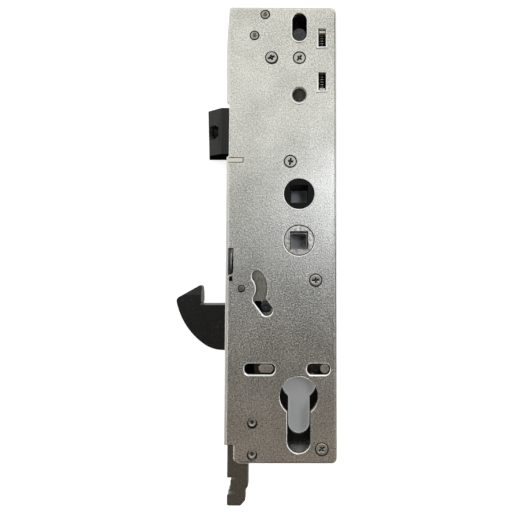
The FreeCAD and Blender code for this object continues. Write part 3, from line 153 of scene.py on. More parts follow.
# The light. Two small soft lamps beside the camera, a stronger one at the right and a faint one
# at the left, one wide panel for the back, and a room that is bright above and dim and warm
# below, as the steel mirrors it.
for name, at, aim, size, watts, colour in (
    ("lamp_right", (78, -300, 30), (0, 0, -20), 46, 0.10, "#f0f4ff"),
    ("lamp_left", (-165, -310, -60), (0, 0, -20), 46, 0.008, "#f6f8ff"),
    ("panel_back", (120, 420, 260), (0, 0, -20), 300, 2.0, "#ffffff"),
):
    area = bpy.data.lights.new(name, "AREA")
    area.size = size * MM
    area.energy = watts
    area.color = paint(colour)[:3]
    lamp = bpy.data.objects.new(name, area)
    lamp.location = Vector(at) * MM
    lamp.rotation_mode = "QUATERNION"
    lamp.rotation_quaternion = (Vector(aim) - Vector(at)).to_track_quat("-Z", "Y")
    bpy.context.scene.collection.objects.link(lamp)

# How bright the room is at each height: sine of the angle above the horizon, colour, share of
# full light. Two tall soft boxes far out at the left and right are what the burrs and bends
# mirror; they set in between two sines of the angle sideways.
ROOM = (
    (-1.00, "#8c8177", 0.25),
    (-0.68, "#d8c4b0", 0.54),
    (-0.56, "#d8c6b4", 0.46),
    (-0.42, "#dacbbb", 0.16),
    (-0.26, "#ded6cc", 0.12),
    (-0.10, "#e6e4de", 0.02),
    (0.02, "#f4f4f2", 0.11),
    (0.14, "#fbfbf8", 0.38),
    (0.27, "#fdfdf8", 1.18),
    (0.38, "#fdfdf8", 1.26),
    (0.60, "#fdfdee", 0.68),
    (0.80, "#fdfdf8", 0.95),
    (1.00, "#ffffff", 1.20),
)
SIDE_BOXES = 1.1
SIDE_FADE = (0.66, 0.88)
world = bpy.data.worlds.new("studio")
world.use_nodes = True
bpy.context.scene.world = world
tree = world.node_tree
tree.nodes.clear()
heading = put(tree, "ShaderNodeTexCoord")
height = put(tree, "ShaderNodeSeparateXYZ", {0: heading.outputs["Generated"]})
share = put(tree, "ShaderNodeMapRange", {"Value": height.outputs["Z"], 1: -1.0, 2: 1.0})
ramp = put(tree, "ShaderNodeValToRGB", {0: share})
stops = ramp.color_ramp.elements
while len(stops) < len(ROOM):
    stops.new(0.5)
for stop, (sine, colour, level) in zip(stops, ROOM):
    stop.position = (sine + 1) / 2
    stop.color = [channel * level for channel in paint(colour)[:3]] + [1.0]
across = put(tree, "ShaderNodeMath", {0: height.outputs["X"]}, operation="ABSOLUTE")
beside = put(tree, "ShaderNodeMapRange", {"Value": across, 1: SIDE_FADE[0], 2: SIDE_FADE[1]})
light = put(tree, "ShaderNodeMix", {0: beside, 6: ramp.outputs[0], 7: [SIDE_BOXES] * 3 + [1.0]},
            data_type="RGBA")
sky = put(tree, "ShaderNodeBackground", {"Color": light.outputs[2], "Strength": 1.0})
put(tree, "ShaderNodeOutputWorld", {"Surface": sky})

# The case: a deep drawn tray of zinc-plated steel sheet and the stamped cover plate over it. The
# plating has a fine grey spangle of about 0.7 mm, the stamped edges are burnished bright where
# the punch left them, and the inside of the tray is painted near black: painted shade, and grease.
FACE_Y = -8.0
EDGE_MM = 0.2
INSIDE_LOW = (-31.9, -7.0, -119.9)
INSIDE_HIGH = (15.9, 7.95, 86.9)
# colour of hollows painted dark: painted shade, and grease
SHADE_AND_GREASE = "#11100f"
CLOUD_SHARE = 0.3            # weight of the wide clouds beside the grain
SHADE_RANGE = (0.45, 0.85)   # sums of both that give the dark and the light shade
GRAIN_RANGE = (0.3, 0.7)     # grain that gives the least and the greatest roughness
FLECK_MM = 0.9
FLECK_RANGE = (0.74, 0.76)   # noise above which flecks set in and are full
JOIN_MM = 0.002              # CAD points nearer than this are one
FLAT_DEGREES = 0.6           # CAD triangles that differ less than this are one face


def finish(name, dark, light, roughness, grain_mm, relief_mm, metallic=1.0, spread=0.06,
           cloud_mm=18.0, draw=(1.0, 1.0, 1.0), flecks=None, fleck_share=0.0, gloss=0.5,
           sunk=None):
    """Surface of one piece: its colour wanders between two shades, in a grain and in wider
    clouds, the grain also lifts the surface and changes its roughness, draw stretches the grain
    along an axis, flecks are small spots, gloss is the share of mirror light of a coat, and sunk
    gives the clean level and the level, in millimetres from the middle plane, down at which the
    surface is painted dark: painted shade in its hollows, and grease."""
    made = bpy.data.materials.new(name)
    made.use_nodes = True
    tree = made.node_tree
    tree.nodes.clear()
    place = put(tree, "ShaderNodeTexCoord").outputs["Object"]
    drawn = put(tree, "ShaderNodeMapping", {"Vector": place, "Scale": draw})
    grain = put(tree, "ShaderNodeTexNoise", {"Vector": drawn, "Scale": 1 / (grain_mm * MM),
                                             "Detail": 2.0, "Roughness": 0.6})
    cloud = put(tree, "ShaderNodeTexNoise", {"Vector": place, "Scale": 1 / (cloud_mm * MM),
                                             "Detail": 4.0})
    blend = put(tree, "ShaderNodeMath", {0: cloud, 1: CLOUD_SHARE, 2: grain},
                operation="MULTIPLY_ADD")
    share = put(tree, "ShaderNodeMapRange", {"Value": blend, 1: SHADE_RANGE[0], 2: SHADE_RANGE[1]})
    colour = put(tree, "ShaderNodeMix", {0: share, 6: paint(dark), 7: paint(light)},
                 data_type="RGBA").outputs[2]
    if flecks:
        dust = put(tree, "ShaderNodeTexNoise", {"Vector": place, "Scale": 1 / (FLECK_MM * MM),
                                                "Detail": 1.0})
        spot = put(tree, "ShaderNodeMapRange", {"Value": dust, 1: FLECK_RANGE[0] - fleck_share,
                                                2: FLECK_RANGE[1]})
        colour = put(tree, "ShaderNodeMix", {0: spot, 6: colour, 7: paint(flecks)},
                     data_type="RGBA").outputs[2]
    # painted shade: below a level the surface darkens, as shade and grease in hollows
    if sunk:
        axes = put(tree, "ShaderNodeSeparateXYZ", {0: place})
        level = put(tree, "ShaderNodeMath", {0: axes.outputs["Y"]}, operation="ABSOLUTE")
        shade_and_grease = put(tree, "ShaderNodeMapRange", {"Value": level, 1: sunk[0] * MM,
                                                  2: sunk[1] * MM})
        colour = put(tree, "ShaderNodeMix", {0: shade_and_grease, 6: colour, 7: paint(SHADE_AND_GREASE)},
                     data_type="RGBA").outputs[2]
    rough = put(tree, "ShaderNodeMapRange", {"Value": grain, 1: GRAIN_RANGE[0], 2: GRAIN_RANGE[1],
                                             3: roughness - spread, 4: roughness + spread})
    relief = put(tree, "ShaderNodeBump", {"Height": grain, "Strength": 1.0,
                                          "Distance": relief_mm * MM})
    skin = put(tree, "ShaderNodeBsdfPrincipled",
               {"Base Color": colour, "Metallic": metallic, "Roughness": rough, "Normal": relief,
                "Specular IOR Level": gloss})
    put(tree, "ShaderNodeOutputMaterial", {"Surface": skin})
    return made


def dress(names, material):
    """Gives CAD nodes a finish: every material slot of their objects takes it."""
    for name in names:
        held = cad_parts[name]
        for index in range(len(held.material_slots)):
            held.material_slots[index].material = material


def redress(mesh, low, high, material):
    """Gives another finish to the faces of a mesh whose middles lie between two corners in
    millimetres."""
    mesh.materials.append(material)
    count = len(mesh.polygons)
    middles = np.empty(3 * count)
    held = np.empty(count, np.int32)
    mesh.polygons.foreach_get("center", middles)
    mesh.polygons.foreach_get("material_index", held)
    middles = middles.reshape(-1, 3) / MM
    held[np.all((middles > low) & (middles < high), axis=1)] = len(mesh.materials) - 1
    mesh.polygons.foreach_set("material_index", held)


def solid_form(name, mesh, materials, smooth):
    """New object of a mesh, with its finishes, smooth shaded except at edges sharper than an
    angle in degrees."""
    mesh.materials.clear()
    for material in materials:
        mesh.materials.append(material)
    mesh.polygons.foreach_set("use_smooth", np.ones(len(mesh.polygons), bool))
    mesh.set_sharp_from_angle(angle=radians(smooth))
    made = bpy.data.objects.new(name, mesh)
    bpy.context.scene.collection.objects.link(made)
    return made


def eased(node, body, materials, width_mm, smooth=28, cutters=(), reshape=None):
    """Copy of a CAD node with its sharp edges rounded off: points moved by reshape, loose
    triangles joined, flat ones made one face, cutters taken away, and a bevel whose faces take
    the last finish. It stands for the node."""
    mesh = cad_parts[node].data.copy()
    mesh.name = node + "_form"
    if "custom_normal" in mesh.attributes:
        mesh.attributes.remove(mesh.attributes["custom_normal"])
    if reshape:
        points = np.empty(3 * len(mesh.vertices))
        mesh.vertices.foreach_get("co", points)
        mesh.vertices.foreach_set("co", (reshape(points.reshape(-1, 3) / MM) * MM).ravel())
    form = bmesh.new()
    form.from_mesh(mesh)
    bmesh.ops.remove_doubles(form, verts=form.verts, dist=JOIN_MM * MM)
    bmesh.ops.dissolve_limit(form, angle_limit=radians(FLAT_DEGREES),
                             use_dissolve_boundaries=False, verts=form.verts, edges=form.edges)
    form.to_mesh(mesh)
    form.free()
    made = solid_form(node + "_form", mesh, materials, smooth)
    if cutters:
        for cutter in cutters:
            cut = made.modifiers.new("cut", "BOOLEAN")
            cut.operation = "DIFFERENCE"
            cut.solver = "EXACT"
            cut.object = cutter
        bpy.context.view_layer.update()
        evaluated = made.evaluated_get(bpy.context.evaluated_depsgraph_get())
        carved = bpy.data.meshes.new_from_object(evaluated)
        carved.name = node + "_form"
        made.modifiers.clear()
        made.data = carved
        for cutter in cutters:
            bpy.data.objects.remove(cutter)
    ease = made.modifiers.new("ease", "BEVEL")
    ease.width = width_mm * MM
    ease.segments = 2
    ease.limit_method = "ANGLE"
    ease.angle_limit = radians(smooth)
    ease.harden_normals = True
    ease.material = len(materials) - 1
    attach(made, body)
    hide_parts(node)
    return made


zinc_sheet = finish("zinc_plated_sheet", "#a8a8a3", "#fbfbf7", 0.38, 0.62, 0.13, spread=0.12)
sheared_edge = finish("sheared_bright_edge", "#dcdbd6", "#f2f1ec", 0.30, 0.5, 0.01)
# painted shade, and grease: near black for the inside of the tray and the dark seams and gaps round
# parts
inside_shade_and_grease = finish("tray_inside_shade_and_grease", "#0f0e0d", "#1d1b19", 0.55, 1.4, 0.05, metallic=0.0,
                     gloss=0.25)
dress(["back_case"], zinc_sheet)
# painted shade: the faces inside the tray take the near black
redress(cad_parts["back_case"].data, INSIDE_LOW, INSIDE_HIGH, inside_shade_and_grease)
eased("cover_plate", "case", [zinc_sheet, sheared_edge], EDGE_MM)

# The mouth of the tray stands round the cover plate as a narrow bright lip, a little wider along
# the front edge, and a dark seam parts the two. The punch has thrown up a burnished burr round
# every cut-out of the cover that no rivet, pin or pivot fills. Just inside each such opening a dark
# ledge is painted shade, and painted shade also shows as a crescent in the first rivet's hole and
# as a ring round the tube.
SEAM_MM = 0.0005      # points of a new mesh nearer than this are one
RIM_MM = 0.66         # width of a burr at the foot of a small opening
WIDE_AREA = 250       # an opening with more square millimetres is wide
WIDE_SHARE = 0.6      # its burr is narrower
SHEET_AREA = 2000     # only the outer edge of the cover encloses more
COVER_EDGE = ((-32.6, 88.1, 1.2), (16.6, 88.1, 3.0), (16.6, -121.1, 2.6), (-28.9, -121.1, 3.0),
              (-28.9, -113.6, 0.5), (-32.6, -113.6, 0.5), (-32.6, 17.2, 0.4), (-32.6, 18.0, 0.4),
              (-32.6, 42.6, 0.4), (-32.6, 43.4, 0.4), (-32.6, 62.0, 6.0), (-32.6, 76.0, 6.0))
TRAY_EDGE = ((-33.2, 89.4, 1.2), (17.7, 89.4, 3.6), (17.3, -122.0, 2.8), (-29.2, -122.0, 3.2),
             (-29.2, -113.9, 0.5), (-33.8, -113.9, 0.5), (-34.0, 17.2, 0.4), (-32.9, 18.0, 0.4),
             (-32.9, 42.6, 0.4), (-34.2, 43.4, 0.4), (-34.5, 62.0, 6.0), (-34.2, 76.0, 6.0))
LIP_SECTION = [(0, 2.3), (0, 0.42), (0.3, 0.3), (0.7, 0.36), (0.93, 0.55), (1, 0.9), (1, 2.3)]
SEAM_SHIFT = (0.28, -0.28)
SEAM_SECTION = [(0, 0.5), (0, 0.2), (1, 0.2), (1, 0.5)]
GAP_SECTION = [(-0.5, 0.6), (-0.5, 0.32), (0.02, 0.32), (0.02, 0.6)]
RIVET_SPOTS = ((-13.2, 64.65, 20), (0.0, 64.5, 50), (-4.13, 15.19, 80), (7.66, -39.8, 5),
               (10.4, -115.4, 35))       # x, z and the turn of the punch in degrees
PIN_SPOTS = ((-16.2, 85.4), (-21.2, 75.2), (-21.0, -104.1), (-21.0, -118.1))
PIVOT_SPOT = (-26.35, -43.73)
HEAD_REACH = 1.5      # a head fills the opening whose middle is nearer than this
HOLE_SPOT = (-12.9, 64.28)               # the first rivet's hole, which shows as a crescent
HOLE_REACH = 2.98
TUBE_SPOT = (0.0, 46.6)
TUBE_GAP = (2.9, 3.17)


def shell(name, grids, material, body, smooth=32):
    """One closed mesh from grids of points in millimetres: neighbours in rows and columns make
    its quads, points that fall together at seams and poles are joined, and the faces are turned
    outwards."""
    points, faces, first = [], [], 0
    for grid in grids:
        rows, columns = grid.shape[:2]
        index = first + np.arange(rows * columns).reshape(rows, columns)
        quads = np.stack([index[:-1, :-1], index[:-1, 1:], index[1:, 1:], index[1:, :-1]], -1)
        points.append(grid.reshape(-1, 3))
        faces.append(quads.reshape(-1, 4))
        first += rows * columns
    mesh = bpy.data.meshes.new(name)
    mesh.from_pydata(np.concatenate(points) * MM, [], np.concatenate(faces).tolist())
    form = bmesh.new()
    form.from_mesh(mesh)
    bmesh.ops.remove_doubles(form, verts=form.verts, dist=SEAM_MM * MM)
    bmesh.ops.recalc_face_normals(form, faces=form.faces)
    form.to_mesh(mesh)
    form.free()
    made = solid_form(name, mesh, [material], smooth)
    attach(made, body)
    return made


def rounded(corners, steps=8):
    """Closed path of (x, z) points through corners of (x, z, reach): each corner is a parabola
    that leaves its two sides at that reach."""
    spots = np.array([corner[:2] for corner in corners], float)
    reach = np.array([corner[2:] for corner in corners], float)
    before = np.roll(spots, 1, axis=0) - spots
    after = np.roll(spots, -1, axis=0) - spots
    before = before / np.linalg.norm(before, axis=1, keepdims=True) * reach
    after = after / np.linalg.norm(after, axis=1, keepdims=True) * reach
    along = np.linspace(0, 1, steps)[None, :, None]
    path = spots[:, None] + before[:, None] * (1 - along) ** 2 + after[:, None] * along ** 2
    return np.concatenate([path.reshape(-1, 2), path[0, :1]])


def band(inner, outer, section):
    """Closed band between two paths of (x, z) points: each (share, depth) of its section lies
    that share of the way from the inner path to the outer one, and that far below the face of
    the cover."""
    share, depth = (values[None, :] for values in np.array(section + section[:1], float).T)
    x = inner[:, :1] * (1 - share) + outer[:, :1] * share
    z = inner[:, 1:] * (1 - share) + outer[:, 1:] * share
    return np.stack([x, FACE_Y + depth + 0 * x, z], -1)


def turned(spot, profile, dents=None, columns=48):
    """Turned piece on an axis along Y through the spot (x, z): a profile of (radius, y) carried
    round the axis. dents(radius, angle, y) gives how far each point is pushed along Y, as
    stamped marks are."""
    radius, depth = (values[:, None] for values in np.array(profile, float).T)
    angle = np.linspace(0, 2 * np.pi, columns + 1)[None, :]
    depth = depth + 0 * angle
    if dents:
        depth = depth + dents(radius + 0 * angle, angle + 0 * radius, depth)
    return np.stack([spot[0] + radius * np.cos(angle), depth, spot[1] + radius * np.sin(angle)], -1)


def cut_outs(node):
    """Paths of (x, z) points round the openings in the outer face of a CAD sheet, each with its
    area and the same path further out: the edges with one flat front face are strung together
    and pushed along their mitred normals, by RIM_MM at the foot of an opening, less at its sides
    and least at its top, and less again for wide openings."""
    form = bmesh.new()
    form.from_mesh(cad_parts[node].data)
    bmesh.ops.remove_doubles(form, verts=form.verts, dist=JOIN_MM * MM)
    front = {face for face in form.faces
             if face.normal.y < -0.99 and face.calc_center_median().y < (FACE_Y + 0.05) * MM}
    joined = {}
    for edge in form.edges:
        if sum(face in front for face in edge.link_faces) == 1:
            for vert in edge.verts:
                joined.setdefault(vert, []).append(edge.other_vert(vert))
    found = []
    while joined:
        vert = next(iter(joined))
        path = []
        while vert:
            path.append((vert.co.x / MM, vert.co.z / MM))
            vert = next((other for other in joined.pop(vert) if other in joined), None)
        path = np.array(path)
        after = np.roll(path, -1, axis=0)
        step = after - path
        area = np.sum(path[:, 0] * after[:, 1] - path[:, 1] * after[:, 0]) / 2
        normal = np.sign(area) * np.stack([step[:, 1], -step[:, 0]], -1)
        normal = normal / np.linalg.norm(normal, axis=1, keepdims=True)
        earlier = np.roll(normal, 1, axis=0)
        spread = 1 + np.sum(normal * earlier, axis=1, keepdims=True)
        mitre = (normal + earlier) / np.maximum(spread, 0.5)
        aslant = np.clip(mitre, -1, 1)
        width = RIM_MM * (0.62 - 0.12 * aslant[:, :1] - 0.38 * aslant[:, 1:])
        out = mitre * width * (1 if abs(area) < WIDE_AREA else WIDE_SHARE)
        closed = np.concatenate([path, path[:1]])
        found.append((abs(area), closed, closed + np.concatenate([out, out[:1]])))
    form.free()
    return found


burr = finish("burnished_burr", "#f2f1ee", "#ffffff", 0.28, 0.6, 0.004, metallic=0.75)
bent_lip = finish("burnished_lip", "#e6e4df", "#fbfaf6", 0.36, 0.6, 0.006, metallic=0.45)
seam = rounded(COVER_EDGE)
shell("tray_lip", [band(seam, rounded(TRAY_EDGE), LIP_SECTION)], bent_lip, "case")
shell("cover_seam", [band(seam, seam + SEAM_SHIFT, SEAM_SECTION)], inside_shade_and_grease, "case")
heads = [spot[:2] for spot in RIVET_SPOTS + PIN_SPOTS] + [PIVOT_SPOT]
rims, gaps = [], []
for area, edge, beyond in cut_outs("cover_plate"):
    middle = (edge.min(axis=0) + edge.max(axis=0)) / 2
    filled = min(np.hypot(middle[0] - x, middle[1] - z) for x, z in heads) < HEAD_REACH
    if area < SHEET_AREA and not filled:
        # the burrs grow by half from 10 mm above the origin to 50 mm above it
        tall = 1 + 0.5 * np.clip((middle[1] - 10) / 40, 0, 1)
        ridge = [(0.35, -0.16 * tall), (0.75, -0.26 * tall), (0.9, -0.14 * tall)]
        rims.append(band(edge, edge + tall * (beyond - edge),
                         [(-0.05, 0.5), (-0.05, 0.02)] + ridge + [(1, 0.03), (1, 0.5)]))
        # painted shade: a dark ledge just inside the opening
        gaps.append(band(edge, beyond, GAP_SECTION))
# painted shade: a dark disc under the first rivet shows as a crescent, and a dark ring round the
# tube
gaps.append(turned(HOLE_SPOT, [(0, -7.9), (HOLE_REACH, -7.9), (HOLE_REACH, -8.03), (0, -8.03)]))
gaps.append(turned(TUBE_SPOT, [(TUBE_GAP[0], -7.8), (TUBE_GAP[0], -8.07), (TUBE_GAP[1], -8.07),
                               (TUBE_GAP[1], -7.8), (TUBE_GAP[0], -7.8)]))
shell("punched_rims", rims, burr, "case")
shell("cut_shadows", gaps, inside_shade_and_grease, "case")

# The spacer rivets: steel pillars turned from bar, set flush in the cover and the floor and
# spread by a punch with four blades, which leaves an uneven cross. A groove runs round each head,
# painted dark below a level: painted shade, and grease.
HEAD_RADIUS = 2.62
HOLE_RADIUS = 3.05
BLADES = (1.7, 1.2, 1.8, 1.4)
BLADE_DEPTH = 0.6
BLADE_WIDTH = 0.27


def punched(turn):
    """Marks of a punch with four blades, pushed in from both ends: on the ray of each blade a
    bell across it, faded in near the middle and out at the blade's end. The blades aren't worn
    alike, so their reaches differ."""
    def dents(radius, angle, depth):
        pushed = 0 * radius
        for step, reach in enumerate(BLADES):
            bearing = radians(turn) + 2 * np.pi * step / len(BLADES)
            along = radius * np.cos(angle - bearing)
            across = radius * np.sin(angle - bearing)
            fade = np.clip((along - 0.12) / 0.2, 0, 1) * np.clip((reach - along) / 0.25, 0, 1)
            bell = np.exp(-across ** 2 / (2 * BLADE_WIDTH ** 2))
            pushed = np.maximum(pushed, BLADE_DEPTH * bell * fade)
        return -np.sign(depth) * pushed
    return dents


def headed(half_profile):
    """Profile of a piece that is the same at both ends: the half towards the cover plate, then
    its mirror image."""
    near = [(radius, FACE_Y + depth) for radius, depth in half_profile]
    return near + [(radius, -depth) for radius, depth in reversed(near)]


# painted shade, and grease, in the groove round each head below a level
rivet_steel = finish("turned_rivet_steel", "#b3b2ac", "#dad8d1", 0.42, 0.5, 0.05,
                     sunk=(8.02, 7.74))
rivet_half = [(radius, -0.10) for radius in np.linspace(0, 2.3, 13)]
rivet_half += [(2.42, -0.05), (2.55, 0.06), (HEAD_RADIUS, 0.22), (HEAD_RADIUS, 0.8),
               (HOLE_RADIUS, 0.82), (HOLE_RADIUS, 1.4), (2.2, 1.4), (2.2, 4.0)]
rivets = shell("rivets", [turned((x, z), headed(rivet_half), punched(turn))
                          for x, z, turn in RIVET_SPOTS], rivet_steel, "case")
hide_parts("pillar_rivets")

# The four pins that hold the screw blocks: turned steel, sunk below the face, each upset by a
# round punch that leaves a ring with a deep dimple in it, the dimple painted dark below a level as
# shade. They sit a little off their holes' middles.
PIN_SHIFT = (-0.08, 0.22)
# painted shade in the dimple below a level; the collar, bush and foot rivets take the same finish
pin_steel = finish("upset_pin_steel", "#a3a29b", "#cbc9c2", 0.4, 0.5, 0.05, sunk=(7.72, 7.22))
bowl = [(0.0, 0.66), (0.45, 0.64), (0.8, 0.58), (1.0, 0.4), (1.2, 0.18), (1.45, 0.1), (1.65, 0.12),
        (1.8, 0.24), (1.9, 0.5), (1.92, 1.05), (2.3, 1.07), (2.3, 1.4), (1.5, 1.4), (1.5, 4.0)]
pins = shell("upset_pins", [turned((x + PIN_SHIFT[0], z + PIN_SHIFT[1]), headed(bowl), columns=36)
                            for x, z in PIN_SPOTS], pin_steel, "case")
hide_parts("block_pins")

# Inside the case: the blocks for the face plate's screws, zinc castings painted near black, as
# shade inside the case and grease, and the turned collar, the hook's bush and the foot's rivets,
# of free-cutting steel.
# painted shade, and grease: zinc castings made near black inside the case
block_zinc = finish("die_cast_zinc_shade_and_grease", "#12110f", "#201e1b", 0.6, 1.1, 0.08, metallic=0.0,
                    gloss=0.2)
dress(["top_screw_block", "cylinder_screw_block"], block_zinc)
dress(["plate_screw_collar", "hook_spacer", "foot_rivets"], pin_steel)

# The tube for the handle's fixing screw: rolled steel, its two lips rounded over in the sheets.
tube_steel = finish("rolled_tube_steel", "#a8a7a0", "#c9c7c0", 0.38, 0.6, 0.04)
lip = [(2.95, 1.0), (2.95, 0.35), (3.05, 0.08), (3.25, -0.04), (3.45, 0.0), (3.6, 0.18),
       (3.6, 1.5)]
near = [(radius, FACE_Y + depth) for radius, depth in lip]
far = [(radius, -depth) for radius, depth in near]
tube = shell("tube", [turned(TUBE_SPOT, near + far[::-1] + near[:1], columns=44)], tube_steel,
             "case")
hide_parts("fixing_tube")

# The latch: a sintered bolt, black coated, with a lead-in of two flat faces and an oval dish over
# the cap screw in its bore; the floor of the dish and the bolt's underside are painted black as
# shade. Its pale nylon guide is moulded, and the guide's tab shows in the slit of the cover plate,
# with painted shade round it as thin dark bars.
FRONT_X = -33.0       # front edge of the case
LATCH_HALF = 5.5      # half its thickness
LATCH_LOW_Z = 19.4
LATCH_FLAT = 4.0      # reach beyond the front edge on its flat side
LATCH_TIP = 12.5      # and at its tip
LATCH_LEAN = 0.036    # how the tip leans out towards its upper end
LATCH_SLOPE = 1.8
LATCH_STEEP = 0.27
LEAD_IN_X = -37.55    # the CAD solid's lead-in lies beyond this
BORE_FLOOR_X = -38.6  # apart from the floor of its bore, which stays
DISH_AT = np.array((-41.0, -3.28, 30.5))
DISH_HALF = (2.3, 3.45)
DISH_FLOOR = (1.3, 1.55)
DISH_CUT = 2.6
UNDERSIDE_LOW = (-60, -6, 18.5)
UNDERSIDE_HIGH = (-10, 6, 19.9)


def two_facets(points):
    """The lead-in of the latch: its reach beyond the case is the lesser of a slope that rises
    from the flat side and a steep face that runs back to the tip, and the tip leans out towards
    its upper end."""
    tip = LATCH_TIP + LATCH_LEAN * (points[:, 2] - LATCH_LOW_Z)
    reach = np.minimum(LATCH_FLAT + LATCH_SLOPE * (points[:, 1] + LATCH_HALF),
                       tip - LATCH_STEEP * (LATCH_HALF - points[:, 1]))
    moved = (points[:, 0] < LEAD_IN_X) & (np.abs(points[:, 0] - BORE_FLOOR_X) > 0.01)
    points[:, 0] = np.where(moved, FRONT_X - reach, points[:, 0])
    return points


def cutter_prism(ring, push):
    """Closed solid to cut with: a ring of points in millimetres and the same ring moved by a
    vector."""
    count = len(ring)
    mesh = bpy.data.meshes.new("cutter")
    points = [tuple(np.array(spot) * MM) for spot in ring]
    points += [tuple((np.array(spot) + push) * MM) for spot in ring]
    sides = [(at, (at + 1) % count, (at + 1) % count + count, at + count) for at in range(count)]
    ends = [tuple(range(count)), tuple(range(count, 2 * count))]
    mesh.from_pydata(points, [], ends + sides)
    form = bmesh.new()
    form.from_mesh(mesh)
    bmesh.ops.recalc_face_normals(form, faces=form.faces)
    form.to_mesh(mesh)
    form.free()
    made = bpy.data.objects.new("cutter", mesh)
    bpy.context.scene.collection.objects.link(made)
    return made


def pillow(middle, half):
    """Rounded block about a middle, by half sizes: a ball whose cosines and sines are drawn out
    by the power 0.35."""
    def fat(wave):
        return np.sign(wave) * np.abs(wave) ** 0.35
    rise = np.linspace(-np.pi / 2, np.pi / 2, 15)[:, None]
    turn = np.linspace(0, 2 * np.pi, 33)[None, :]
    level = fat(np.cos(rise))
    ball = (level * fat(np.cos(turn)), level * fat(np.sin(turn)), fat(np.sin(rise)) + 0 * turn)
    return np.stack([at + size * share for at, size, share in zip(middle, half, ball)], -1)


black_coat = finish("black_coated_steel", "#161616", "#202020", 0.42, 0.9, 0.05, metallic=0.0,
                    flecks="#4a4a48", fleck_share=0.02, gloss=0.35)
worn_edge = finish("black_coat_worn_edge", "#1d1d1c", "#2b2b29", 0.36, 0.6, 0.03, metallic=0.0,
                   gloss=0.4)
black_cast = finish("blackened_die_cast", "#0d0e0f", "#171819", 0.55, 1.1, 0.05, metallic=0.0,
                    gloss=0.15)
# painted shade: a matt black for hollows and faces that lie in shade
painted_shade_black = finish("hollow_painted_shade_black", "#060707", "#0d0e0e", 0.7, 1.1, 0.05, metallic=0.0,
                     gloss=0.0)
inward = np.array((0.486, 0.874, 0))
along_facet = np.array((0.874, -0.486, 0))
upright = np.array((0, 0, 1))
turn = np.linspace(0, 2 * np.pi, 41)[:, None]
oval = DISH_HALF[0] * np.cos(turn) * along_facet + DISH_HALF[1] * np.sin(turn) * upright
dish = cutter_prism(DISH_AT - inward + oval[:-1], inward * DISH_CUT)
latch = eased("latch_bolt", "latch", [black_coat, worn_edge], 0.2, cutters=[dish],
              reshape=two_facets)
disc = ((DISH_FLOOR[0], 0), (DISH_FLOOR[0], 0.95), (DISH_FLOOR[1], 0.95), (DISH_FLOOR[1], 0))
# painted shade: a black disc on the floor of the dish
shell("dish_floor", [np.stack([DISH_AT + inward * deep + share * oval for deep, share in disc])],
      painted_shade_black, "latch")
# painted shade: the bolt's underside turns black
redress(latch.data, UNDERSIDE_LOW, UNDERSIDE_HIGH, painted_shade_black)
dress(["latch_screw"], black_cast)
nylon = finish("moulded_nylon", "#f6f0e0", "#fffaf0", 0.42, 1.0, 0.01, metallic=0.0)
dress(["latch_guide"], nylon)
# painted shade: thin dark bars round the guide's tab
shell("guide_shadow", [pillow((-29.5, -7.95, 14.72), (3.4, 0.12, 0.14)),
                       pillow((-29.5, -7.95, 16.9), (3.4, 0.12, 0.16)),
                       pillow((-26.1, -7.95, 15.8), (0.18, 0.12, 1.15))],
      inside_shade_and_grease, "case", smooth=60)
greased_strip = finish("greased_steel_strip", "#3b3a37", "#56544f", 0.42, 0.8, 0.04)
dress(["latch_tail", "deadlock_slide"], greased_strip)

# The followers: the upper one a blackened casting, the lower one a bright zinc casting with pits
# and worn spots, its square inside and its eased edges painted near black as shade, and a ring of
# painted shade round it where it turns in the cover.
LOWER_SPOT = (0.0, -21.5)
TURN_GAP_SHADE = (6.76, 7.16)
SQUARE_LOW = (-4.6, -7.9, -26.1)
SQUARE_HIGH = (4.6, 7.9, -16.9)
zinc_cast = finish("bright_die_cast_zinc", "#a3a29d", "#f4f3ee", 0.42, 1.3, 0.16, cloud_mm=5)
eased("upper_follower", "upper_follower", [black_cast], 0.2)
# painted shade: the eased edges of the lower follower take the near black
lower = eased("lower_follower", "lower_follower", [zinc_cast, inside_shade_and_grease], 0.2)
redress(lower.data, SQUARE_LOW, SQUARE_HIGH, painted_shade_black)
# painted shade: a dark ring in the gap where the follower turns in the cover
shell("turn_gap_shade", [turned(LOWER_SPOT, [(TURN_GAP_SHADE[0], -7.7), (TURN_GAP_SHADE[0], -8.03),
                                          (TURN_GAP_SHADE[1], -8.03), (TURN_GAP_SHADE[1], -7.7),
                                          (TURN_GAP_SHADE[0], -7.7)])],
      inside_shade_and_grease, "lower_follower")

# The return slide and its spring: a pressing painted near black as shade inside the case, with a
# turned stud in the long slot, and a compression spring of 0.8 mm round wire between its seat and
# an angle on the case floor. The ends of both show in the two windows as pressed tabs painted near
# white, a painted highlight.
STUD_SPOT = (0.0, 76.0)
SPRING_AXIS = (10.7, -2.6)
SPRING_LOW = 50.1
SPRING_LENGTH = 27.1
SPRING_SPARE = 0.05   # between the spring and what it pushes at each end
COIL_RADIUS = 2.9
WIRE_RADIUS = 0.4
WIRE_TAPER = 40       # the wire comes to a point in this fraction of a curl
CURLS = 21
# painted shade: the slide is made near black as the cavity lies in shade
dark_pressing = finish("pressing_painted_shade", "#141415", "#1f1f20", 0.45, 0.9, 0.04, metallic=0.2)
dress(["return_slide"], dark_pressing)
stud_steel = finish("dark_turned_stud", "#3a3a3e", "#57575b", 0.38, 0.8, 0.03)
crown = [(0.0, 0.66), (0.8, 0.67), (1.7, 0.69), (2.6, 0.72), (2.95, 0.76), (3.15, 0.9), (3.25, 1.1),
         (3.25, 2.6), (0.0, 2.6)]
shell("stud_cap", [turned(STUD_SPOT, [(radius, FACE_Y + depth) for radius, depth in crown])],
      stud_steel, "return_slide")
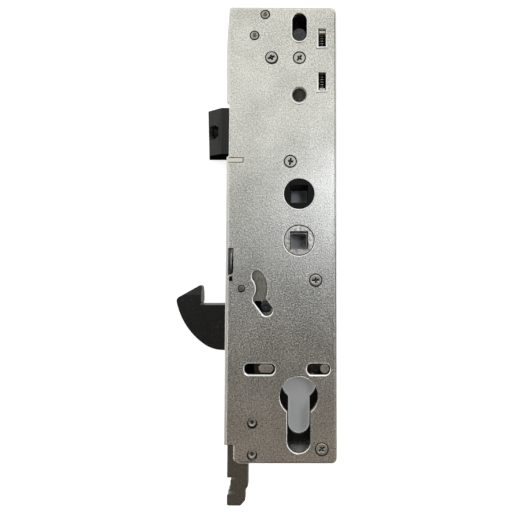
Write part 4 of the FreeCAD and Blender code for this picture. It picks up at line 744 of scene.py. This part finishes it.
# painted highlight: steel tabs given a near white, hardly metallic colour so they look lit
painted_highlight_tab = finish("pressed_tab_painted_highlight", "#e4e1d6", "#fffdf4", 0.4, 0.6, 0.02, metallic=0.1)
dress(["spring_abutment"], painted_highlight_tab)
shell("upper_tab", [pillow((10.9, -7.2, 77.3), (1.5, 0.3, 0.55))], painted_highlight_tab, "case",
      smooth=60)
shell("lower_tab", [pillow((10.9, -7.2, 49.6), (1.5, 0.3, 0.5))], painted_highlight_tab, "return_slide",
      smooth=60)
wire = finish("drawn_spring_wire", "#5c5c5b", "#8e8e8c", 0.16, 0.5, 0.01)
turn = np.linspace(0, 2 * np.pi * CURLS, CURLS * 30 + 1)[:, None]
round_wire = np.linspace(0, 2 * np.pi, 11)[None, :]
pull = SPRING_LENGTH / 2 - WIRE_RADIUS - SPRING_SPARE
climb = np.clip(turn / (2 * np.pi * CURLS), 0, 1)
wire_radius = WIRE_RADIUS * np.clip(WIRE_TAPER * np.minimum(climb, 1 - climb) * CURLS, 0, 1)
coil_radius = COIL_RADIUS + wire_radius * np.cos(round_wire)
middle_z = SPRING_LOW + SPRING_LENGTH / 2 + pull * (2 * climb - 1)
coil = np.stack([SPRING_AXIS[0] + coil_radius * np.cos(turn),
                 SPRING_AXIS[1] + coil_radius * np.sin(turn),
                 middle_z + wire_radius * np.sin(round_wire)], -1)
spring = shell("coil_spring", [coil], wire, "case", smooth=60)
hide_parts("return_spring")
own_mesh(spring)

# The hook: cut from thick plate, black coated, its nose faced off on both sides as a lead-in. It
# swings on a turned pin that is riveted flush, the sunk edge of its end painted dark as shade, and
# a dark hardened pin in the curved slot drives it.
DRIVE_SPOT = (-15.3, -52.2)
DRIVE_PIN_FRONT = 1.7
HOOK_HALF = 2.9
NOSE_X = (-64.0, -44.0)
FACET_LOW = -47.3
FACET_RUN = 6.5
FACET_DEPTH = 2.2
FACET_CUT = 4.0       # how far out and
FACET_OVER = 1.0      # how far down the cutters reach past the nose
wedges = []
for sign in (-1, 1):
    slope = FACET_DEPTH / FACET_RUN
    flat = sign * HOOK_HALF
    top = FACET_LOW + FACET_RUN
    section = ((flat + sign * slope * FACET_OVER, FACET_LOW - FACET_OVER),
               (flat - sign * FACET_DEPTH, top), (flat + sign * FACET_CUT, top),
               (flat + sign * FACET_CUT, FACET_LOW - FACET_OVER))
    wedges.append(cutter_prism([(NOSE_X[0], y, z) for y, z in section],
                               np.array((NOSE_X[1] - NOSE_X[0], 0, 0))))
eased("hook_bolt", "hook", [black_coat, worn_edge], 0.3, cutters=wedges)

# painted shade: the pin's rim darkens below a level into a dark outline ring
pivot_steel = finish("riveted_pin_steel", "#74736e", "#93928b", 0.42, 0.5, 0.04,
                     sunk=(7.95, 7.65))
domed = [(0.0, 0.0), (0.9, 0.0), (1.2, 0.04), (1.35, 0.14), (1.4, 0.35), (1.4, 0.7), (1.75, 0.72),
         (1.75, 2.0)]
pivot = shell("pivot_pin", [turned(PIVOT_SPOT, headed(domed), columns=32)], pivot_steel, "case")
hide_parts("hook_pivot_pin")
pin_dark = finish("hardened_dark_pin", "#393c40", "#5a5e64", 0.38, 0.6, 0.03)
tip = [(0.0, 0.25), (0.25, 0.2), (0.5, 0.02), (1.7, 0.0), (2.0, 0.04), (2.4, 0.24), (2.6, 0.5),
       (2.6, 2.0)]
sunk_tip = [(radius, depth + DRIVE_PIN_FRONT) for radius, depth in tip]
drive_pin = shell("drive_pin", [turned(DRIVE_SPOT, headed(sunk_tip), columns=40)], pin_dark,
                  "drive_pin")
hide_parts("hook_drive_pin")

# The drive slide and its foot: a long strip of cold-rolled steel, and a gunmetal end with the
# claw for the rod of the lower locking points, lapped and riveted.
slide_strip = finish("cold_rolled_strip", "#918f88", "#b8b6ae", 0.45, 0.8, 0.05,
                     draw=(1.0, 1.0, 0.35))
gunmetal = finish("gunmetal_steel", "#73716a", "#918e87", 0.45, 0.8, 0.05)
eased("drive_slide", "drive", [slide_strip], 0.2)
eased("drive_foot", "drive", [gunmetal], 0.3)

# The deadlock slide's two studs in the slots over the cylinder: an oblong guide stud and a round
# pin, cold headed and flat on top, dull and a little recessed. A web of the slide, greased steel
# strip, closes the right slot behind its pin.
stud_dull = finish("cold_headed_steel", "#b3b1a9", "#d2d0c8", 0.45, 0.8, 0.05)
shell("slide_web", [pillow((6.2, -4.2, -80.2), (3.6, 0.4, 2.9))], greased_strip, "deadlock",
      smooth=60)
eased("deadlock_lug", "deadlock", [stud_dull], 0.3)
eased("deadlock_pin", "deadlock", [stud_dull], 0.3)
